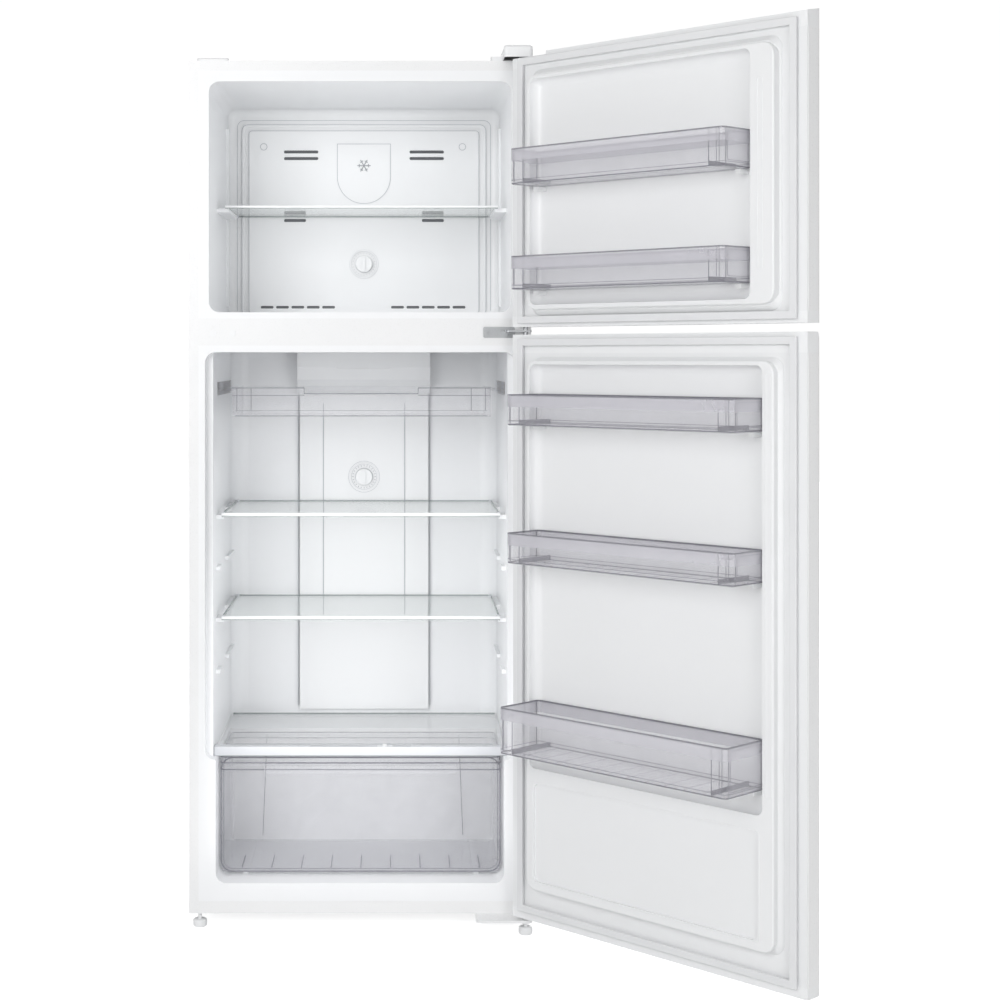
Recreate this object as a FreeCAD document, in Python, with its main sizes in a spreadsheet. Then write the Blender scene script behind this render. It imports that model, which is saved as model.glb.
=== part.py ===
import FreeCAD, Part
import math
import os
import Sketcher

# Top freezer refrigerator, standing with both doors open.
# Frame: +Z up, the front faces -Y, +X is the hinge side. The origin is on the floor,
# under the middle of the cabinet's footprint. Everything is in millimetres.

os.makedirs("parts", exist_ok=True)
doc = FreeCAD.newDocument("TopFreezerRefrigerator")
sheet = doc.addObject("Spreadsheet::Sheet", "sizes")

DRIVING_SIZES = {
    # cabinet
    "cab_width": 700,
    "cab_depth": 600,
    "cab_base": 31,
    "cab_top": 1774,
    "steel": 1,
    "strip": 20,
    "liner_wall": 2.5,
    "flange": 2,
    "mouth_radius": 22,
    # compartments, clear inside
    "freezer_half": 309,
    "freezer_floor": 1260,
    "freezer_ceiling": 1732,
    "freezer_deep": 522,
    "cover_deep": 440,
    "mouth_half": 317,
    "mouth_deep": 28,
    "fridge_half": 303,
    "fridge_floor": 93,
    "fridge_ceiling": 1178.5,
    "fridge_deep": 466,
    "crisper_half": 295,
    "crisper_top": 345,
    "crisper_deep": 330,
    # front rails
    "rail_low": 1192,
    "rail_high": 1247.5,
    "lower_rail_high": 56.5,
    # doors, about the hinge pin
    "pin_side": 336,
    "pin_forward": 34,
    "pin_radius": 5,
    "door_angle": 134,
    "door_front": 23,
    "door_inner": 23,
    "door_edge_radius": 14,
    "dyke_rise": 22,
    "gasket_rise": 10,
    "gasket_width": 14,
    "freezer_door_low": 1229,
    "freezer_door_high": 1785,
    "fridge_door_low": 39,
    "fridge_door_high": 1213.5,
    "cap_rise": 21,
    # bins and shelves
    "bin_wall": 2.5,
    "freezer_bin_deep": 88,
    "fridge_bin_deep": 98,
    "bottle_bin_deep": 118,
    "shelf_plate": 4,
    # running parts
    "knob_radius": 19,
    "foot_radius": 13.5,
    "stud_radius": 4,
    "roller_radius": 15,
    "machine_deep": 372,
    "machine_top": 300,
    "running_fit": 0.1,
}

for row, (alias, amount) in enumerate(DRIVING_SIZES.items(), start=1):
    sheet.set(f"A{row}", alias)
    sheet.set(f"B{row}", str(amount))
    sheet.setAlias(f"B{row}", alias)
doc.recompute()


class Size:
    """A length in millimetres, together with the sheet expression that gives it."""

    def __init__(self, amount, text):
        self.amount = amount
        self.text = text

    def __add__(self, other):
        return Size(self.amount + number(other), f"({self.text} + {written(other)})")

    def __radd__(self, other):
        return self + other

    def __sub__(self, other):
        return Size(self.amount - number(other), f"({self.text} - {written(other)})")

    def __rsub__(self, other):
        return Size(number(other) - self.amount, f"({written(other)} - {self.text})")

    def __mul__(self, factor):
        return Size(self.amount * factor, f"({self.text} * {factor})")

    def __rmul__(self, factor):
        return self * factor

    def __neg__(self):
        return self * -1

    def __truediv__(self, factor):
        return Size(self.amount / factor, f"({self.text} / {factor})")


def number(size):
    return size.amount if isinstance(size, Size) else size


def written(size):
    return size.text if isinstance(size, Size) else repr(size)


def sized(alias):
    """The named cell of the sheet."""
    return Size(sheet.get(alias), f"sizes.{alias}")


def bind(thing, path, size):
    """Ties a property of a document object to the sheet where its size comes from there."""
    if isinstance(size, Size):
        thing.setExpression(path, size.text)


half_width = sized("cab_width") / 2
front = sized("cab_depth") / -2
back = sized("cab_depth") / 2
steel = sized("steel")
wall = sized("liner_wall")
fit = sized("running_fit")
pin_radius = sized("pin_radius")


# ---- sketches and features ------------------------------------------------------------

PLANES = {"XY": ("XY_Plane", 1), "XZ": ("XZ_Plane", -1), "YZ": ("YZ_Plane", 1)}


def new_body(label):
    body = doc.addObject("PartDesign::Body", label)
    body.Label = label
    return body


def new_sketch(body, plane, level):
    """A sketch on one of the body's own origin planes, at a level along the world axis."""
    role, sense = PLANES[plane]
    sketch = body.newObject("Sketcher::SketchObject", body.Name + "_sketch")
    origin_plane = next(f for f in body.Origin.OriginFeatures if f.Role == role)
    sketch.AttachmentSupport = [(origin_plane, "")]
    sketch.MapMode = "FlatFace"
    offset = level * sense
    sketch.AttachmentOffset = FreeCAD.Placement(
        FreeCAD.Vector(0, 0, number(offset)), FreeCAD.Rotation()
    )
    bind(sketch, "AttachmentOffset.Base.z", offset)
    return sketch


def pin_down(sketch, geometry, point, across, up):
    """Holds one sketch point at its distances from the sketch origin."""
    for kind, axis, size in (("DistanceX", -2, across), ("DistanceY", -1, up)):
        if size is None:
            continue
        if not isinstance(size, Size) and abs(size) < 1e-9:
            sketch.addConstraint(Sketcher.Constraint("PointOnObject", geometry, point, axis))
            continue
        index = sketch.addConstraint(
            Sketcher.Constraint(kind, -1, 1, geometry, point, float(number(size)))
        )
        bind(sketch, f"Constraints[{index}]", size)


def draw_outline(sketch, points):
    """A closed outline of straight sides through the given points."""
    spots = [FreeCAD.Vector(number(u), number(v), 0) for u, v in points]
    first = sketch.GeometryCount
    count = len(spots)
    for i in range(count):
        sketch.addGeometry(Part.LineSegment(spots[i], spots[(i + 1) % count]), False)
    for i in range(count):
        following = first + (i + 1) % count
        sketch.addConstraint(Sketcher.Constraint("Coincident", first + i, 2, following, 1))
    for i, (u, v) in enumerate(points):
        pin_down(sketch, first + i, 1, u, v)


def draw_rect(sketch, left, right, low, high, radius=None):
    """A rectangle, with rounded corners where a radius is given."""
    if radius is None:
        draw_outline(sketch, [(left, low), (right, low), (right, high), (left, high)])
        return
    x0, x1, y0, y1, r = (number(s) for s in (left, right, low, high, radius))
    first = sketch.GeometryCount
    sides = [
        ((x0 + r, y0), (x1 - r, y0)),
        ((x1, y0 + r), (x1, y1 - r)),
        ((x1 - r, y1), (x0 + r, y1)),
        ((x0, y1 - r), (x0, y0 + r)),
    ]
    corners = [(x1 - r, y0 + r, 270), (x1 - r, y1 - r, 0), (x0 + r, y1 - r, 90), (x0 + r, y0 + r, 180)]
    for side in sides:
        ends = [FreeCAD.Vector(u, v, 0) for u, v in side]
        sketch.addGeometry(Part.LineSegment(ends[0], ends[1]), False)
    for u, v, turn in corners:
        circle = Part.Circle(FreeCAD.Vector(u, v, 0), FreeCAD.Vector(0, 0, 1), r)
        start, stop = math.radians(turn), math.radians(turn + 90)
        sketch.addGeometry(Part.ArcOfCircle(circle, start, stop), False)
    for i in range(4):
        arc = first + 4 + i
        sketch.addConstraint(Sketcher.Constraint("Tangent", first + i, 2, arc, 1))
        sketch.addConstraint(Sketcher.Constraint("Tangent", arc, 2, first + (i + 1) % 4, 1))
    sketch.addConstraint(Sketcher.Constraint("Horizontal", first))
    sketch.addConstraint(Sketcher.Constraint("Vertical", first + 1))
    sketch.addConstraint(Sketcher.Constraint("Horizontal", first + 2))
    sketch.addConstraint(Sketcher.Constraint("Vertical", first + 3))
    for i in range(1, 4):
        sketch.addConstraint(Sketcher.Constraint("Equal", first + 4, first + 4 + i))
    index = sketch.addConstraint(Sketcher.Constraint("Radius", first + 4, r))
    bind(sketch, f"Constraints[{index}]", radius)
    pin_down(sketch, first, 1, None, low)
    pin_down(sketch, first + 2, 1, None, high)
    pin_down(sketch, first + 1, 1, right, None)
    pin_down(sketch, first + 3, 1, left, None)


def draw_circle(sketch, across, up, radius):
    centre = FreeCAD.Vector(number(across), number(up), 0)
    circle = Part.Circle(centre, FreeCAD.Vector(0, 0, 1), number(radius))
    geometry = sketch.addGeometry(circle, False)
    pin_down(sketch, geometry, 3, across, up)
    index = sketch.addConstraint(Sketcher.Constraint("Radius", geometry, float(number(radius))))
    bind(sketch, f"Constraints[{index}]", radius)


def pad(body, sketch, length):
    feature = body.newObject("PartDesign::Pad", body.Name + "_pad")
    feature.Profile = sketch
    feature.Length = number(length)
    bind(feature, "Length", length)
    return feature


def pocket(body, sketch, length):
    """Cuts into the solid and makes sure that something was cut."""
    doc.recompute()
    before = body.Tip.Shape.Volume
    feature = body.newObject("PartDesign::Pocket", body.Name + "_pocket")
    feature.Profile = sketch
    feature.Length = number(length)
    bind(feature, "Length", length)
    doc.recompute()
    if not feature.Shape.Volume < before - 1e-3:
        raise RuntimeError(f"a pocket of {body.Label} cuts nothing")
    return feature


def start_level(plane, low, high, cutting):
    """Pads grow along the sketch normal and pockets against it; XZ sketches face -Y."""
    if plane == "XZ":
        return low if cutting else high
    return high if cutting else low


def block(body, plane, left, right, bottom, top, low, high, radius=None):
    """Adds a block; low and high are its two levels along the plane's own axis."""
    sketch = new_sketch(body, plane, start_level(plane, low, high, False))
    draw_rect(sketch, left, right, bottom, top, radius)
    return pad(body, sketch, high - low)


def hollow(body, plane, left, right, bottom, top, low, high, radius=None):
    """Cuts a block-shaped hollow between two levels along the plane's own axis."""
    sketch = new_sketch(body, plane, start_level(plane, low, high, True))
    draw_rect(sketch, left, right, bottom, top, radius)
    return pocket(body, sketch, high - low)


def prism(body, plane, points, low, high):
    sketch = new_sketch(body, plane, start_level(plane, low, high, False))
    draw_outline(sketch, points)
    return pad(body, sketch, high - low)


def rod(body, plane, across, up, radius, low, high):
    sketch = new_sketch(body, plane, start_level(plane, low, high, False))
    draw_circle(sketch, across, up, radius)
    return pad(body, sketch, high - low)


def bore(body, plane, across, up, radius, low, high):
    sketch = new_sketch(body, plane, start_level(plane, low, high, True))
    draw_circle(sketch, across, up, radius)
    return pocket(body, sketch, high - low)


def turned(body, points):
    """A solid of revolution about the body's Z axis, from an outline of (radius, height)."""
    sketch = new_sketch(body, "XZ", 0)
    draw_outline(sketch, points)
    feature = body.newObject("PartDesign::Revolution", body.Name + "_turned")
    feature.Profile = sketch
    feature.ReferenceAxis = (sketch, ["V_Axis"])
    feature.Angle = 360
    return feature


def soften(body, size, chosen, kind="Fillet"):
    """Rounds (Fillet) or bevels (Chamfer) the edges of the body that pass the test."""
    doc.recompute()
    base = body.Tip
    names = [f"Edge{i + 1}" for i, edge in enumerate(base.Shape.Edges) if chosen(edge)]
    if not names:
        raise RuntimeError(f"no edges of {body.Label} were chosen")
    feature = body.newObject(f"PartDesign::{kind}", f"{body.Name}_{kind}")
    feature.Base = (base, names)
    measure = "Radius" if kind == "Fillet" else "Size"
    setattr(feature, measure, number(size))
    bind(feature, measure, size)
    return feature


def along(edge, axis):
    """True for a straight edge that runs along the axis, 0 for X, 1 for Y and 2 for Z."""
    if edge.Curve.TypeId != "Part::GeomLine":
        return False
    direction = edge.tangentAt(edge.FirstParameter)
    return abs(direction[axis]) > 0.999


def at(edge, **places):
    """True where the middle of the edge is at the given x, y or z."""
    middle = edge.valueAt((edge.FirstParameter + edge.LastParameter) / 2)
    found = {"x": middle.x, "y": middle.y, "z": middle.z}
    return all(abs(found[axis] - number(place)) < 0.05 for axis, place in places.items())


def repeat(body, feature, direction, length, count):
    """Repeats a feature in a straight row along the body's own X or Z axis."""
    pattern = body.newObject("PartDesign::LinearPattern", body.Name + "_row")
    pattern.Originals = [feature]
    role = {"X": "X_Axis", "Y": "Y_Axis", "Z": "Z_Axis"}[direction]
    axis = next(f for f in body.Origin.OriginFeatures if f.Role == role)
    pattern.Direction = (axis, [""])
    pattern.Length = number(length)
    pattern.Occurrences = count
    body.Tip = pattern
    doc.recompute()
    return pattern


def place(body, x, y, z):
    body.Placement = FreeCAD.Placement(
        FreeCAD.Vector(number(x), number(y), number(z)), FreeCAD.Rotation()
    )
    for axis, size in (("x", x), ("y", y), ("z", z)):
        bind(body, f"Placement.Base.{axis}", size)


def hang_on_door(body):
    """Door pieces are drawn closed, about the hinge pin, and turned to the open door."""
    body.Placement = FreeCAD.Placement(
        FreeCAD.Vector(number(sized("pin_side")), number(front - sized("pin_forward")), 0),
        FreeCAD.Rotation(FreeCAD.Vector(0, 0, 1), number(sized("door_angle"))),
    )
    bind(body, "Placement.Base.x", sized("pin_side"))
    bind(body, "Placement.Base.y", front - sized("pin_forward"))
    bind(body, "Placement.Rotation.Angle", sized("door_angle"))


# ---- cabinet ---------------------------------------------------------------------------

freezer_half = sized("freezer_half")
freezer_floor = sized("freezer_floor")
freezer_ceiling = sized("freezer_ceiling")
freezer_back = front + sized("freezer_deep")
mouth_half = sized("mouth_half")
mouth_back = front + sized("mouth_deep")
fridge_half = sized("fridge_half")
fridge_floor = sized("fridge_floor")
fridge_ceiling = sized("fridge_ceiling")
fridge_back = front + sized("fridge_deep")
crisper_half = sized("crisper_half")
crisper_top = sized("crisper_top")
crisper_back = front + sized("crisper_deep")
mouth_radius = sized("mouth_radius")
cab_base = sized("cab_base")
cab_top = sized("cab_top")
flange_back = front + sized("flange")
strip_half = half_width - sized("strip")
machine_front = front + sized("machine_deep")
machine_top = sized("machine_top")
RAIL_DEEP = 36
LOWER_RAIL_PLATE = 3
FOOT_SIDE = -329
FOOT_BACK = 20
ROLLER_SIDE = 300
ROLLER_BACK = 262
ROLLER_WIDTH = 22
SHELF_REST = 8
SHELF_GAP = 0.3
FREEZER_SHELF_LOW = 1486
UPPER_SHELF_LOW = 838
LOWER_SHELF_LOW = 622
# each runner's level, and how far it stands out of the wall
FRIDGE_RUNNERS = ((UPPER_SHELF_LOW, 15), (730, 8), (LOWER_SHELF_LOW, 15), (514, 8))
DRAWER_RUNNER = 240
DRAWER_RUNNER_START = 75
RAIL_PLUGS = (-300, -260)
RAIL_PLUG_UP = 1217
HINGE_PLATE_UP = 1219

# hinge screws: across and back from the front on top and below, across and up on the rail
SCREW_HOLE = 2.1
SCREW_SHANK = 2
SCREW_HEAD = 4.5
TOP_SCREWS = ((282, 22), (312, 44), (330, 22))
MIDDLE_SCREWS = ((262, HINGE_PLATE_UP), (303, HINGE_PLATE_UP - 5))
BOTTOM_SCREWS = ((250, 20), (290, 20))


def make_outer_shell():
    """One folded steel sheet: both sides and the top, with a narrow strip turned in at the front."""
    body = new_body("outer_shell")
    block(body, "XZ", -half_width, half_width, cab_base, cab_top, front, back - steel)
    hollow(body, "XZ", -half_width + steel, half_width - steel, cab_base - 1, cab_top - steel,
           front + steel, back)
    hollow(body, "XZ", -strip_half, strip_half, cab_base - 1, cab_top - sized("strip"),
           front - 1, front + steel + 1)
    soften(body, 3, lambda edge: along(edge, 1) and at(edge, z=cab_top))
    for across, deep in TOP_SCREWS:
        bore(body, "XY", across, front + deep, SCREW_HOLE, cab_top - 2, cab_top + 1)


def make_rear_panel():
    """The flat rear sheet closes the foam above the machine compartment."""
    body = new_body("rear_panel")
    block(body, "XZ", -half_width, half_width, machine_top + 12, cab_top, back - steel, back)
    block(body, "XZ", -half_width, -half_width + 40, cab_base + steel, machine_top + 13, back - steel, back)
    block(body, "XZ", half_width - 40, half_width, cab_base + steel, machine_top + 13, back - steel, back)


def make_base_plate():
    """The pressed steel base, with two pairs of ears turned down for the rear rollers."""
    body = new_body("base_plate")
    block(body, "XY", -half_width + steel, half_width - steel, front + RAIL_DEEP + 4, back - steel - 0.5,
          cab_base, cab_base + 2)
    for side in (-1, 1):
        for ear in (-ROLLER_WIDTH / 2 - 3, ROLLER_WIDTH / 2 + 1):
            left = side * ROLLER_SIDE + ear
            block(body, "YZ", ROLLER_BACK - 12, ROLLER_BACK + 12, 6, cab_base + 1, left, left + 2)
    for side in (-1, 1):
        for ear in (-ROLLER_WIDTH / 2 - 3, ROLLER_WIDTH / 2 + 1):
            left = side * ROLLER_SIDE + ear
            bore(body, "YZ", ROLLER_BACK, sized("roller_radius"), 3, left - 0.5, left + 2.5)


def make_foam():
    """Foamed insulation fills the cabinet between the steel and the two liners."""
    body = new_body("cabinet_insulation")
    inner_half = half_width - steel
    block(body, "XZ", -inner_half, inner_half, cab_base + 2, cab_top - steel, flange_back, back - steel)
    hollow(body, "XZ", -freezer_half - wall, freezer_half + wall, freezer_floor - wall,
           freezer_ceiling + wall, flange_back, freezer_back + wall, mouth_radius + wall)
    hollow(body, "XZ", -mouth_half - wall, mouth_half + wall, crisper_top - wall,
           fridge_ceiling + wall, flange_back, mouth_back + wall, mouth_radius + wall)
    hollow(body, "XZ", -fridge_half - wall, fridge_half + wall, crisper_top - wall,
           fridge_ceiling + wall, flange_back, fridge_back + wall)
    hollow(body, "XZ", -crisper_half - wall, crisper_half + wall, fridge_floor - wall,
           crisper_top + 30, flange_back, crisper_back + wall, mouth_radius + wall)
    hollow(body, "XZ", -strip_half, strip_half, sized("rail_low"), sized("rail_high"),
           flange_back, front + RAIL_DEEP)
    hollow(body, "XZ", -inner_half - 1, inner_half + 1, cab_base + 1, sized("lower_rail_high"),
           flange_back - 1, front + RAIL_DEEP + 4)
    sketch = new_sketch(body, "YZ", inner_half + 1)
    draw_outline(sketch, [
        (machine_front, cab_base + 1),
        (back, cab_base + 1),
        (back, machine_top + 12),
        (machine_front + 70, machine_top),
        (machine_front, machine_top - 60),
    ])
    pocket(body, sketch, inner_half * 2 + 2)


def make_freezer_liner():
    """The formed plastic liner of the freezer, with its front flange and two vertical side ribs."""
    body = new_body("freezer_liner")
    block(body, "XZ", -freezer_half - wall, freezer_half + wall, freezer_floor - wall,
          freezer_ceiling + wall, front, freezer_back + wall, mouth_radius + wall)
    block(body, "XZ", -strip_half, strip_half, sized("rail_high"), cab_top - sized("strip"),
          front, flange_back)
    hollow(body, "XZ", -freezer_half, freezer_half, freezer_floor, freezer_ceiling,
           front - 1, freezer_back, mouth_radius)
    cover_front = front + sized("cover_deep")
    for side in (-1, 1):
        edges = sorted((side * (freezer_half - 5), side * (freezer_half + 1)), key=number)
        block(body, "XZ", edges[0], edges[1], freezer_floor + 22, freezer_ceiling - 50,
              cover_front - 52, cover_front - 20)
        shelf_rest = sorted((side * (freezer_half - 25), side * (freezer_half + 1)), key=number)
        block(body, "XZ", shelf_rest[0], shelf_rest[1], FREEZER_SHELF_LOW - SHELF_GAP - SHELF_REST,
              FREEZER_SHELF_LOW - SHELF_GAP, front + 170, cover_front - 60)


def make_fridge_liner():
    """The liner of the fresh food compartment: a wide upper part and a narrower, shallower
    lower part, because the machine compartment stands behind the drawer."""
    body = new_body("fridge_liner")
    block(body, "XZ", -mouth_half - wall, mouth_half + wall, crisper_top - wall,
          fridge_ceiling + wall, front, mouth_back + wall, mouth_radius + wall)
    block(body, "XZ", -fridge_half - wall, fridge_half + wall, crisper_top - wall,
          fridge_ceiling + wall, flange_back, fridge_back + wall)
    block(body, "XZ", -crisper_half - wall, crisper_half + wall, fridge_floor - wall,
          crisper_top + 30, front, crisper_back + wall, mouth_radius + wall)
    block(body, "XZ", -strip_half, strip_half, sized("lower_rail_high"), sized("rail_low"),
          front, flange_back)
    hollow(body, "XZ", -mouth_half, mouth_half, crisper_top, fridge_ceiling,
           front - 1, mouth_back, mouth_radius)
    hollow(body, "XZ", -fridge_half, fridge_half, crisper_top, fridge_ceiling,
           front + 20, fridge_back)
    hollow(body, "XZ", -crisper_half, crisper_half, fridge_floor, crisper_top + 29,
           front - 1, crisper_back, mouth_radius)
    for level, reach in FRIDGE_RUNNERS:
        for side in (-1, 1):
            edges = sorted((side * (fridge_half - reach), side * (fridge_half + 1)), key=number)
            for start, stop in ((95, 150), (300, 440)):
                block(body, "XZ", edges[0], edges[1], level - SHELF_GAP - SHELF_REST,
                      level - SHELF_GAP, front + start, front + stop)
    for side in (-1, 1):
        block(body, "XZ", side * DRAWER_RUNNER - 6, side * DRAWER_RUNNER + 6, fridge_floor - 1,
              fridge_floor + 6, front + DRAWER_RUNNER_START, crisper_back - 10)


def make_middle_rail():
    """The steel crossbar between the compartments; its face shows between the two flanges."""
    body = new_body("middle_rail")
    block(body, "XZ", -strip_half, strip_half, sized("rail_low"), sized("rail_high"),
          front, front + RAIL_DEEP)
    hollow(body, "XZ", -strip_half + 2, strip_half - 2, sized("rail_low") + 2, sized("rail_high") - 2,
           front + 2, front + RAIL_DEEP + 1)
    for across in RAIL_PLUGS:
        bore(body, "XZ", across, RAIL_PLUG_UP, 4, front - 1, front + 3)
    for across, up in MIDDLE_SCREWS:
        bore(body, "XZ", across, up, SCREW_HOLE, front - 1, front + 3)


def make_lower_rail():
    """The folded steel crossbar under the doors: it carries the front foot and the bottom hinge."""
    body = new_body("lower_rail")
    inner_half = half_width - steel
    block(body, "XZ", -inner_half, inner_half, cab_base, sized("lower_rail_high"),
          front + steel, front + RAIL_DEEP + 4)
    hollow(body, "XZ", -inner_half + 2, inner_half - 2, cab_base + LOWER_RAIL_PLATE,
           sized("lower_rail_high") + 1, front + steel + 2, front + RAIL_DEEP + 2)
    bore(body, "XY", FOOT_SIDE, front + FOOT_BACK, sized("stud_radius") + fit,
         cab_base - 1, cab_base + LOWER_RAIL_PLATE + 1)
    for across, deep in BOTTOM_SCREWS:
        bore(body, "XY", across, front + deep, SCREW_HOLE, cab_base - 1, cab_base + LOWER_RAIL_PLATE + 1)


# ---- freezer compartment ---------------------------------------------------------------

KNOB_UP = 1380
FRIDGE_KNOB_UP = 895
FAN_UP = 1585
SLOT_RISE = 7


def make_evaporator_cover():
    """The moulded cover across the back of the freezer: raised panel, ridge, air slots, control."""
    body = new_body("evaporator_cover")
    face = front + sized("cover_deep")
    half = freezer_half - 1
    block(body, "XZ", -half, half, freezer_floor + 1, freezer_ceiling - 1, face, face + 4,
          mouth_radius - 1)
    block(body, "XZ", -278, 278, freezer_floor + 1, 1698, face - 4, face + 1, 14)
    hollow(body, "XZ", -270, 270, freezer_floor + 8, 1691, face - 5, face - 1, 10)
    block(body, "XZ", -262, 262, freezer_floor + 9, 1684, face - 5, face, 8)
    for left, right, ups in ((-182, -104, (1617, 1632)), (104, 182, (1617, 1632)),
                             (-182, -132, (1476, 1494)), (132, 182, (1476, 1494))):
        for up in ups:
            hollow(body, "XZ", left, right, up, up + SLOT_RISE, face - 6, face + 5, 3)
    sketch = new_sketch(body, "XZ", face - 6)
    draw_rect(sketch, -235, -206, 1279, 1285, 2.5)
    first_slot = pocket(body, sketch, 12)
    repeat(body, first_slot, "X", 140, 5)
    sketch = new_sketch(body, "XZ", face - 6)
    draw_rect(sketch, 62, 91, 1279, 1285, 2.5)
    second_slot = pocket(body, sketch, 12)
    repeat(body, second_slot, "X", 140, 5)
    sketch = new_sketch(body, "XZ", face - 4)
    draw_circle(sketch, 0, KNOB_UP, 32.5)
    draw_circle(sketch, 0, KNOB_UP, 29.5)
    pad(body, sketch, 4)
    bore(body, "XZ", 0, KNOB_UP, 4 + fit, face - 9, face + 5)


def make_shield_badge():
    """A plain shield plate, flat on top and round below, on the raised panel."""
    body = new_body("shield_badge")
    face = front + sized("cover_deep") - 5
    sketch = new_sketch(body, "XZ", face)
    half = 61
    low = 1578
    high = 1654
    sides = [((-half, low), (-half, high)), ((-half, high), (half, high)), ((half, high), (half, low))]
    for start, stop in sides:
        sketch.addGeometry(Part.LineSegment(FreeCAD.Vector(*start, 0), FreeCAD.Vector(*stop, 0)), False)
    circle = Part.Circle(FreeCAD.Vector(0, low, 0), FreeCAD.Vector(0, 0, 1), half)
    sketch.addGeometry(Part.ArcOfCircle(circle, math.pi, 2 * math.pi), False)
    for one, other in ((0, 1), (1, 2)):
        sketch.addConstraint(Sketcher.Constraint("Coincident", one, 2, other, 1))
    sketch.addConstraint(Sketcher.Constraint("Coincident", 2, 2, 3, 2))
    sketch.addConstraint(Sketcher.Constraint("Coincident", 3, 1, 0, 1))
    pin_down(sketch, 0, 1, -half, low)
    pin_down(sketch, 0, 2, -half, high)
    pin_down(sketch, 1, 2, half, high)
    pin_down(sketch, 2, 2, half, low)
    pad(body, sketch, 1.5)


def make_knob(label, across, deep, up, shaft):
    """A round control knob with a raised grip bar, on a shaft that passes through its panel."""
    body = new_body(label)
    radius = sized("knob_radius")
    rod(body, "XZ", 0, 0, radius, -14, -1)
    soften(body, 2, lambda edge: at(edge, y=-14))
    rod(body, "XZ", 0, 0, 4, -2, shaft)
    block(body, "XZ", -3.5, 3.5, -radius + 3, radius - 3, -20, -13, 3)
    place(body, across, deep, up)


def make_fan():
    """The evaporator fan: a motor on the cover's back and a five-blade rotor in front of it."""
    motor = new_body("fan_motor")
    rod(motor, "XZ", 0, 0, 30, 30, 62)
    rod(motor, "XZ", 0, 0, 2.5, 10, 31)
    block(motor, "XZ", -58, 58, -9, 9, 46, 52, 4)
    for side in (-1, 1):
        rod(motor, "XZ", side * 54, 0, 4, 4, 47)
    place(motor, 0, front + sized("cover_deep"), FAN_UP)
    blade = new_body("fan_blade")
    rod(blade, "XZ", 0, 0, 14, 9, 27)
    hub_radius = 13
    for turn in range(5):
        sketch = new_sketch(blade, "XZ", 22)
        start = math.radians(72 * turn)
        stop = math.radians(72 * turn + 40)
        outline = [
            (hub_radius * math.cos(start), hub_radius * math.sin(start)),
            (46 * math.cos(start), 46 * math.sin(start)),
            (48 * math.cos((start + stop) / 2), 48 * math.sin((start + stop) / 2)),
            (46 * math.cos(stop), 46 * math.sin(stop)),
            (hub_radius * math.cos(stop), hub_radius * math.sin(stop)),
        ]
        draw_outline(sketch, outline)
        pad(blade, sketch, 6)
    bore(blade, "XZ", 0, 0, 2.5 + fit, 8, 28)
    place(blade, 0, front + sized("cover_deep"), FAN_UP)


def fuse_all(label, pieces):
    """Joins Part primitives into one sub-part."""
    joined = doc.addObject("Part::MultiFuse", label)
    joined.Label = label
    joined.Shapes = pieces
    return joined


def primitive_box(name, x, y, z, length, width, height):
    """A Part box from its lowest corner and its sizes along X, Y and Z."""
    box = doc.addObject("Part::Box", name)
    for prop, size in (("Length", length), ("Width", width), ("Height", height)):
        setattr(box, prop, number(size))
        bind(box, prop, size)
    place(box, x, y, z)
    return box


def primitive_rod(name, x, y, z, radius, length, axis):
    """A Part cylinder that starts at a point and runs along X, Y or Z."""
    rod_object = doc.addObject("Part::Cylinder", name)
    rod_object.Radius = number(radius)
    rod_object.Height = number(length)
    bind(rod_object, "Radius", radius)
    bind(rod_object, "Height", length)
    turns = {
        "X": FreeCAD.Rotation(FreeCAD.Vector(0, 1, 0), 90),
        "Y": FreeCAD.Rotation(FreeCAD.Vector(1, 0, 0), -90),
        "Z": FreeCAD.Rotation(),
    }
    rod_object.Placement = FreeCAD.Placement(
        FreeCAD.Vector(number(x), number(y), number(z)), turns[axis]
    )
    for name_part, size in (("x", x), ("y", y), ("z", z)):
        bind(rod_object, f"Placement.Base.{name_part}", size)
    return rod_object


def primitive_bend(name, x, y, z, radius, tube, side):
    """A half torus in the XZ plane that joins two level tubes, one radius above and below."""
    bend = doc.addObject("Part::Torus", name)
    bend.Radius1 = number(radius)
    bend.Radius2 = number(tube)
    bend.Angle3 = 180
    bend.Placement = FreeCAD.Placement(
        FreeCAD.Vector(number(x), number(y), number(z)),
        FreeCAD.Rotation(FreeCAD.Vector(1, 0, 0), 90)
        .multiply(FreeCAD.Rotation(FreeCAD.Vector(0, 0, 1), 90 if side < 0 else -90)),
    )
    bind(bend, "Placement.Base.y", y)
    return bend


def serpentine(name, half, y, low, pitch, rows, tube):
    """Level tubes one above another, joined at alternate ends by half-round bends."""
    pieces = []
    for row in range(rows):
        up = low + row * pitch
        pieces.append(primitive_rod(f"{name}_run{row}", -half, y, up, tube, 2 * half, "X"))
        if row < rows - 1:
            side = 1 if row % 2 == 0 else -1
            pieces.append(
                primitive_bend(f"{name}_bend{row}", side * half, y, up + pitch / 2, pitch / 2, tube, side)
            )
    return pieces


def make_evaporator():
    """The finned coil behind the cover: one serpentine tube through upright aluminium fins."""
    deep = front + sized("cover_deep") + 44
    pieces = serpentine("evaporator", 200, deep, 1310, 28, 6, 4)
    for fin in range(15):
        across = -189 + fin * 27
        pieces.append(primitive_box(f"evaporator_fin{fin}", across, deep - 20, 1298, 0.8, 40, 164))
    fuse_all("evaporator", pieces)


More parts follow.
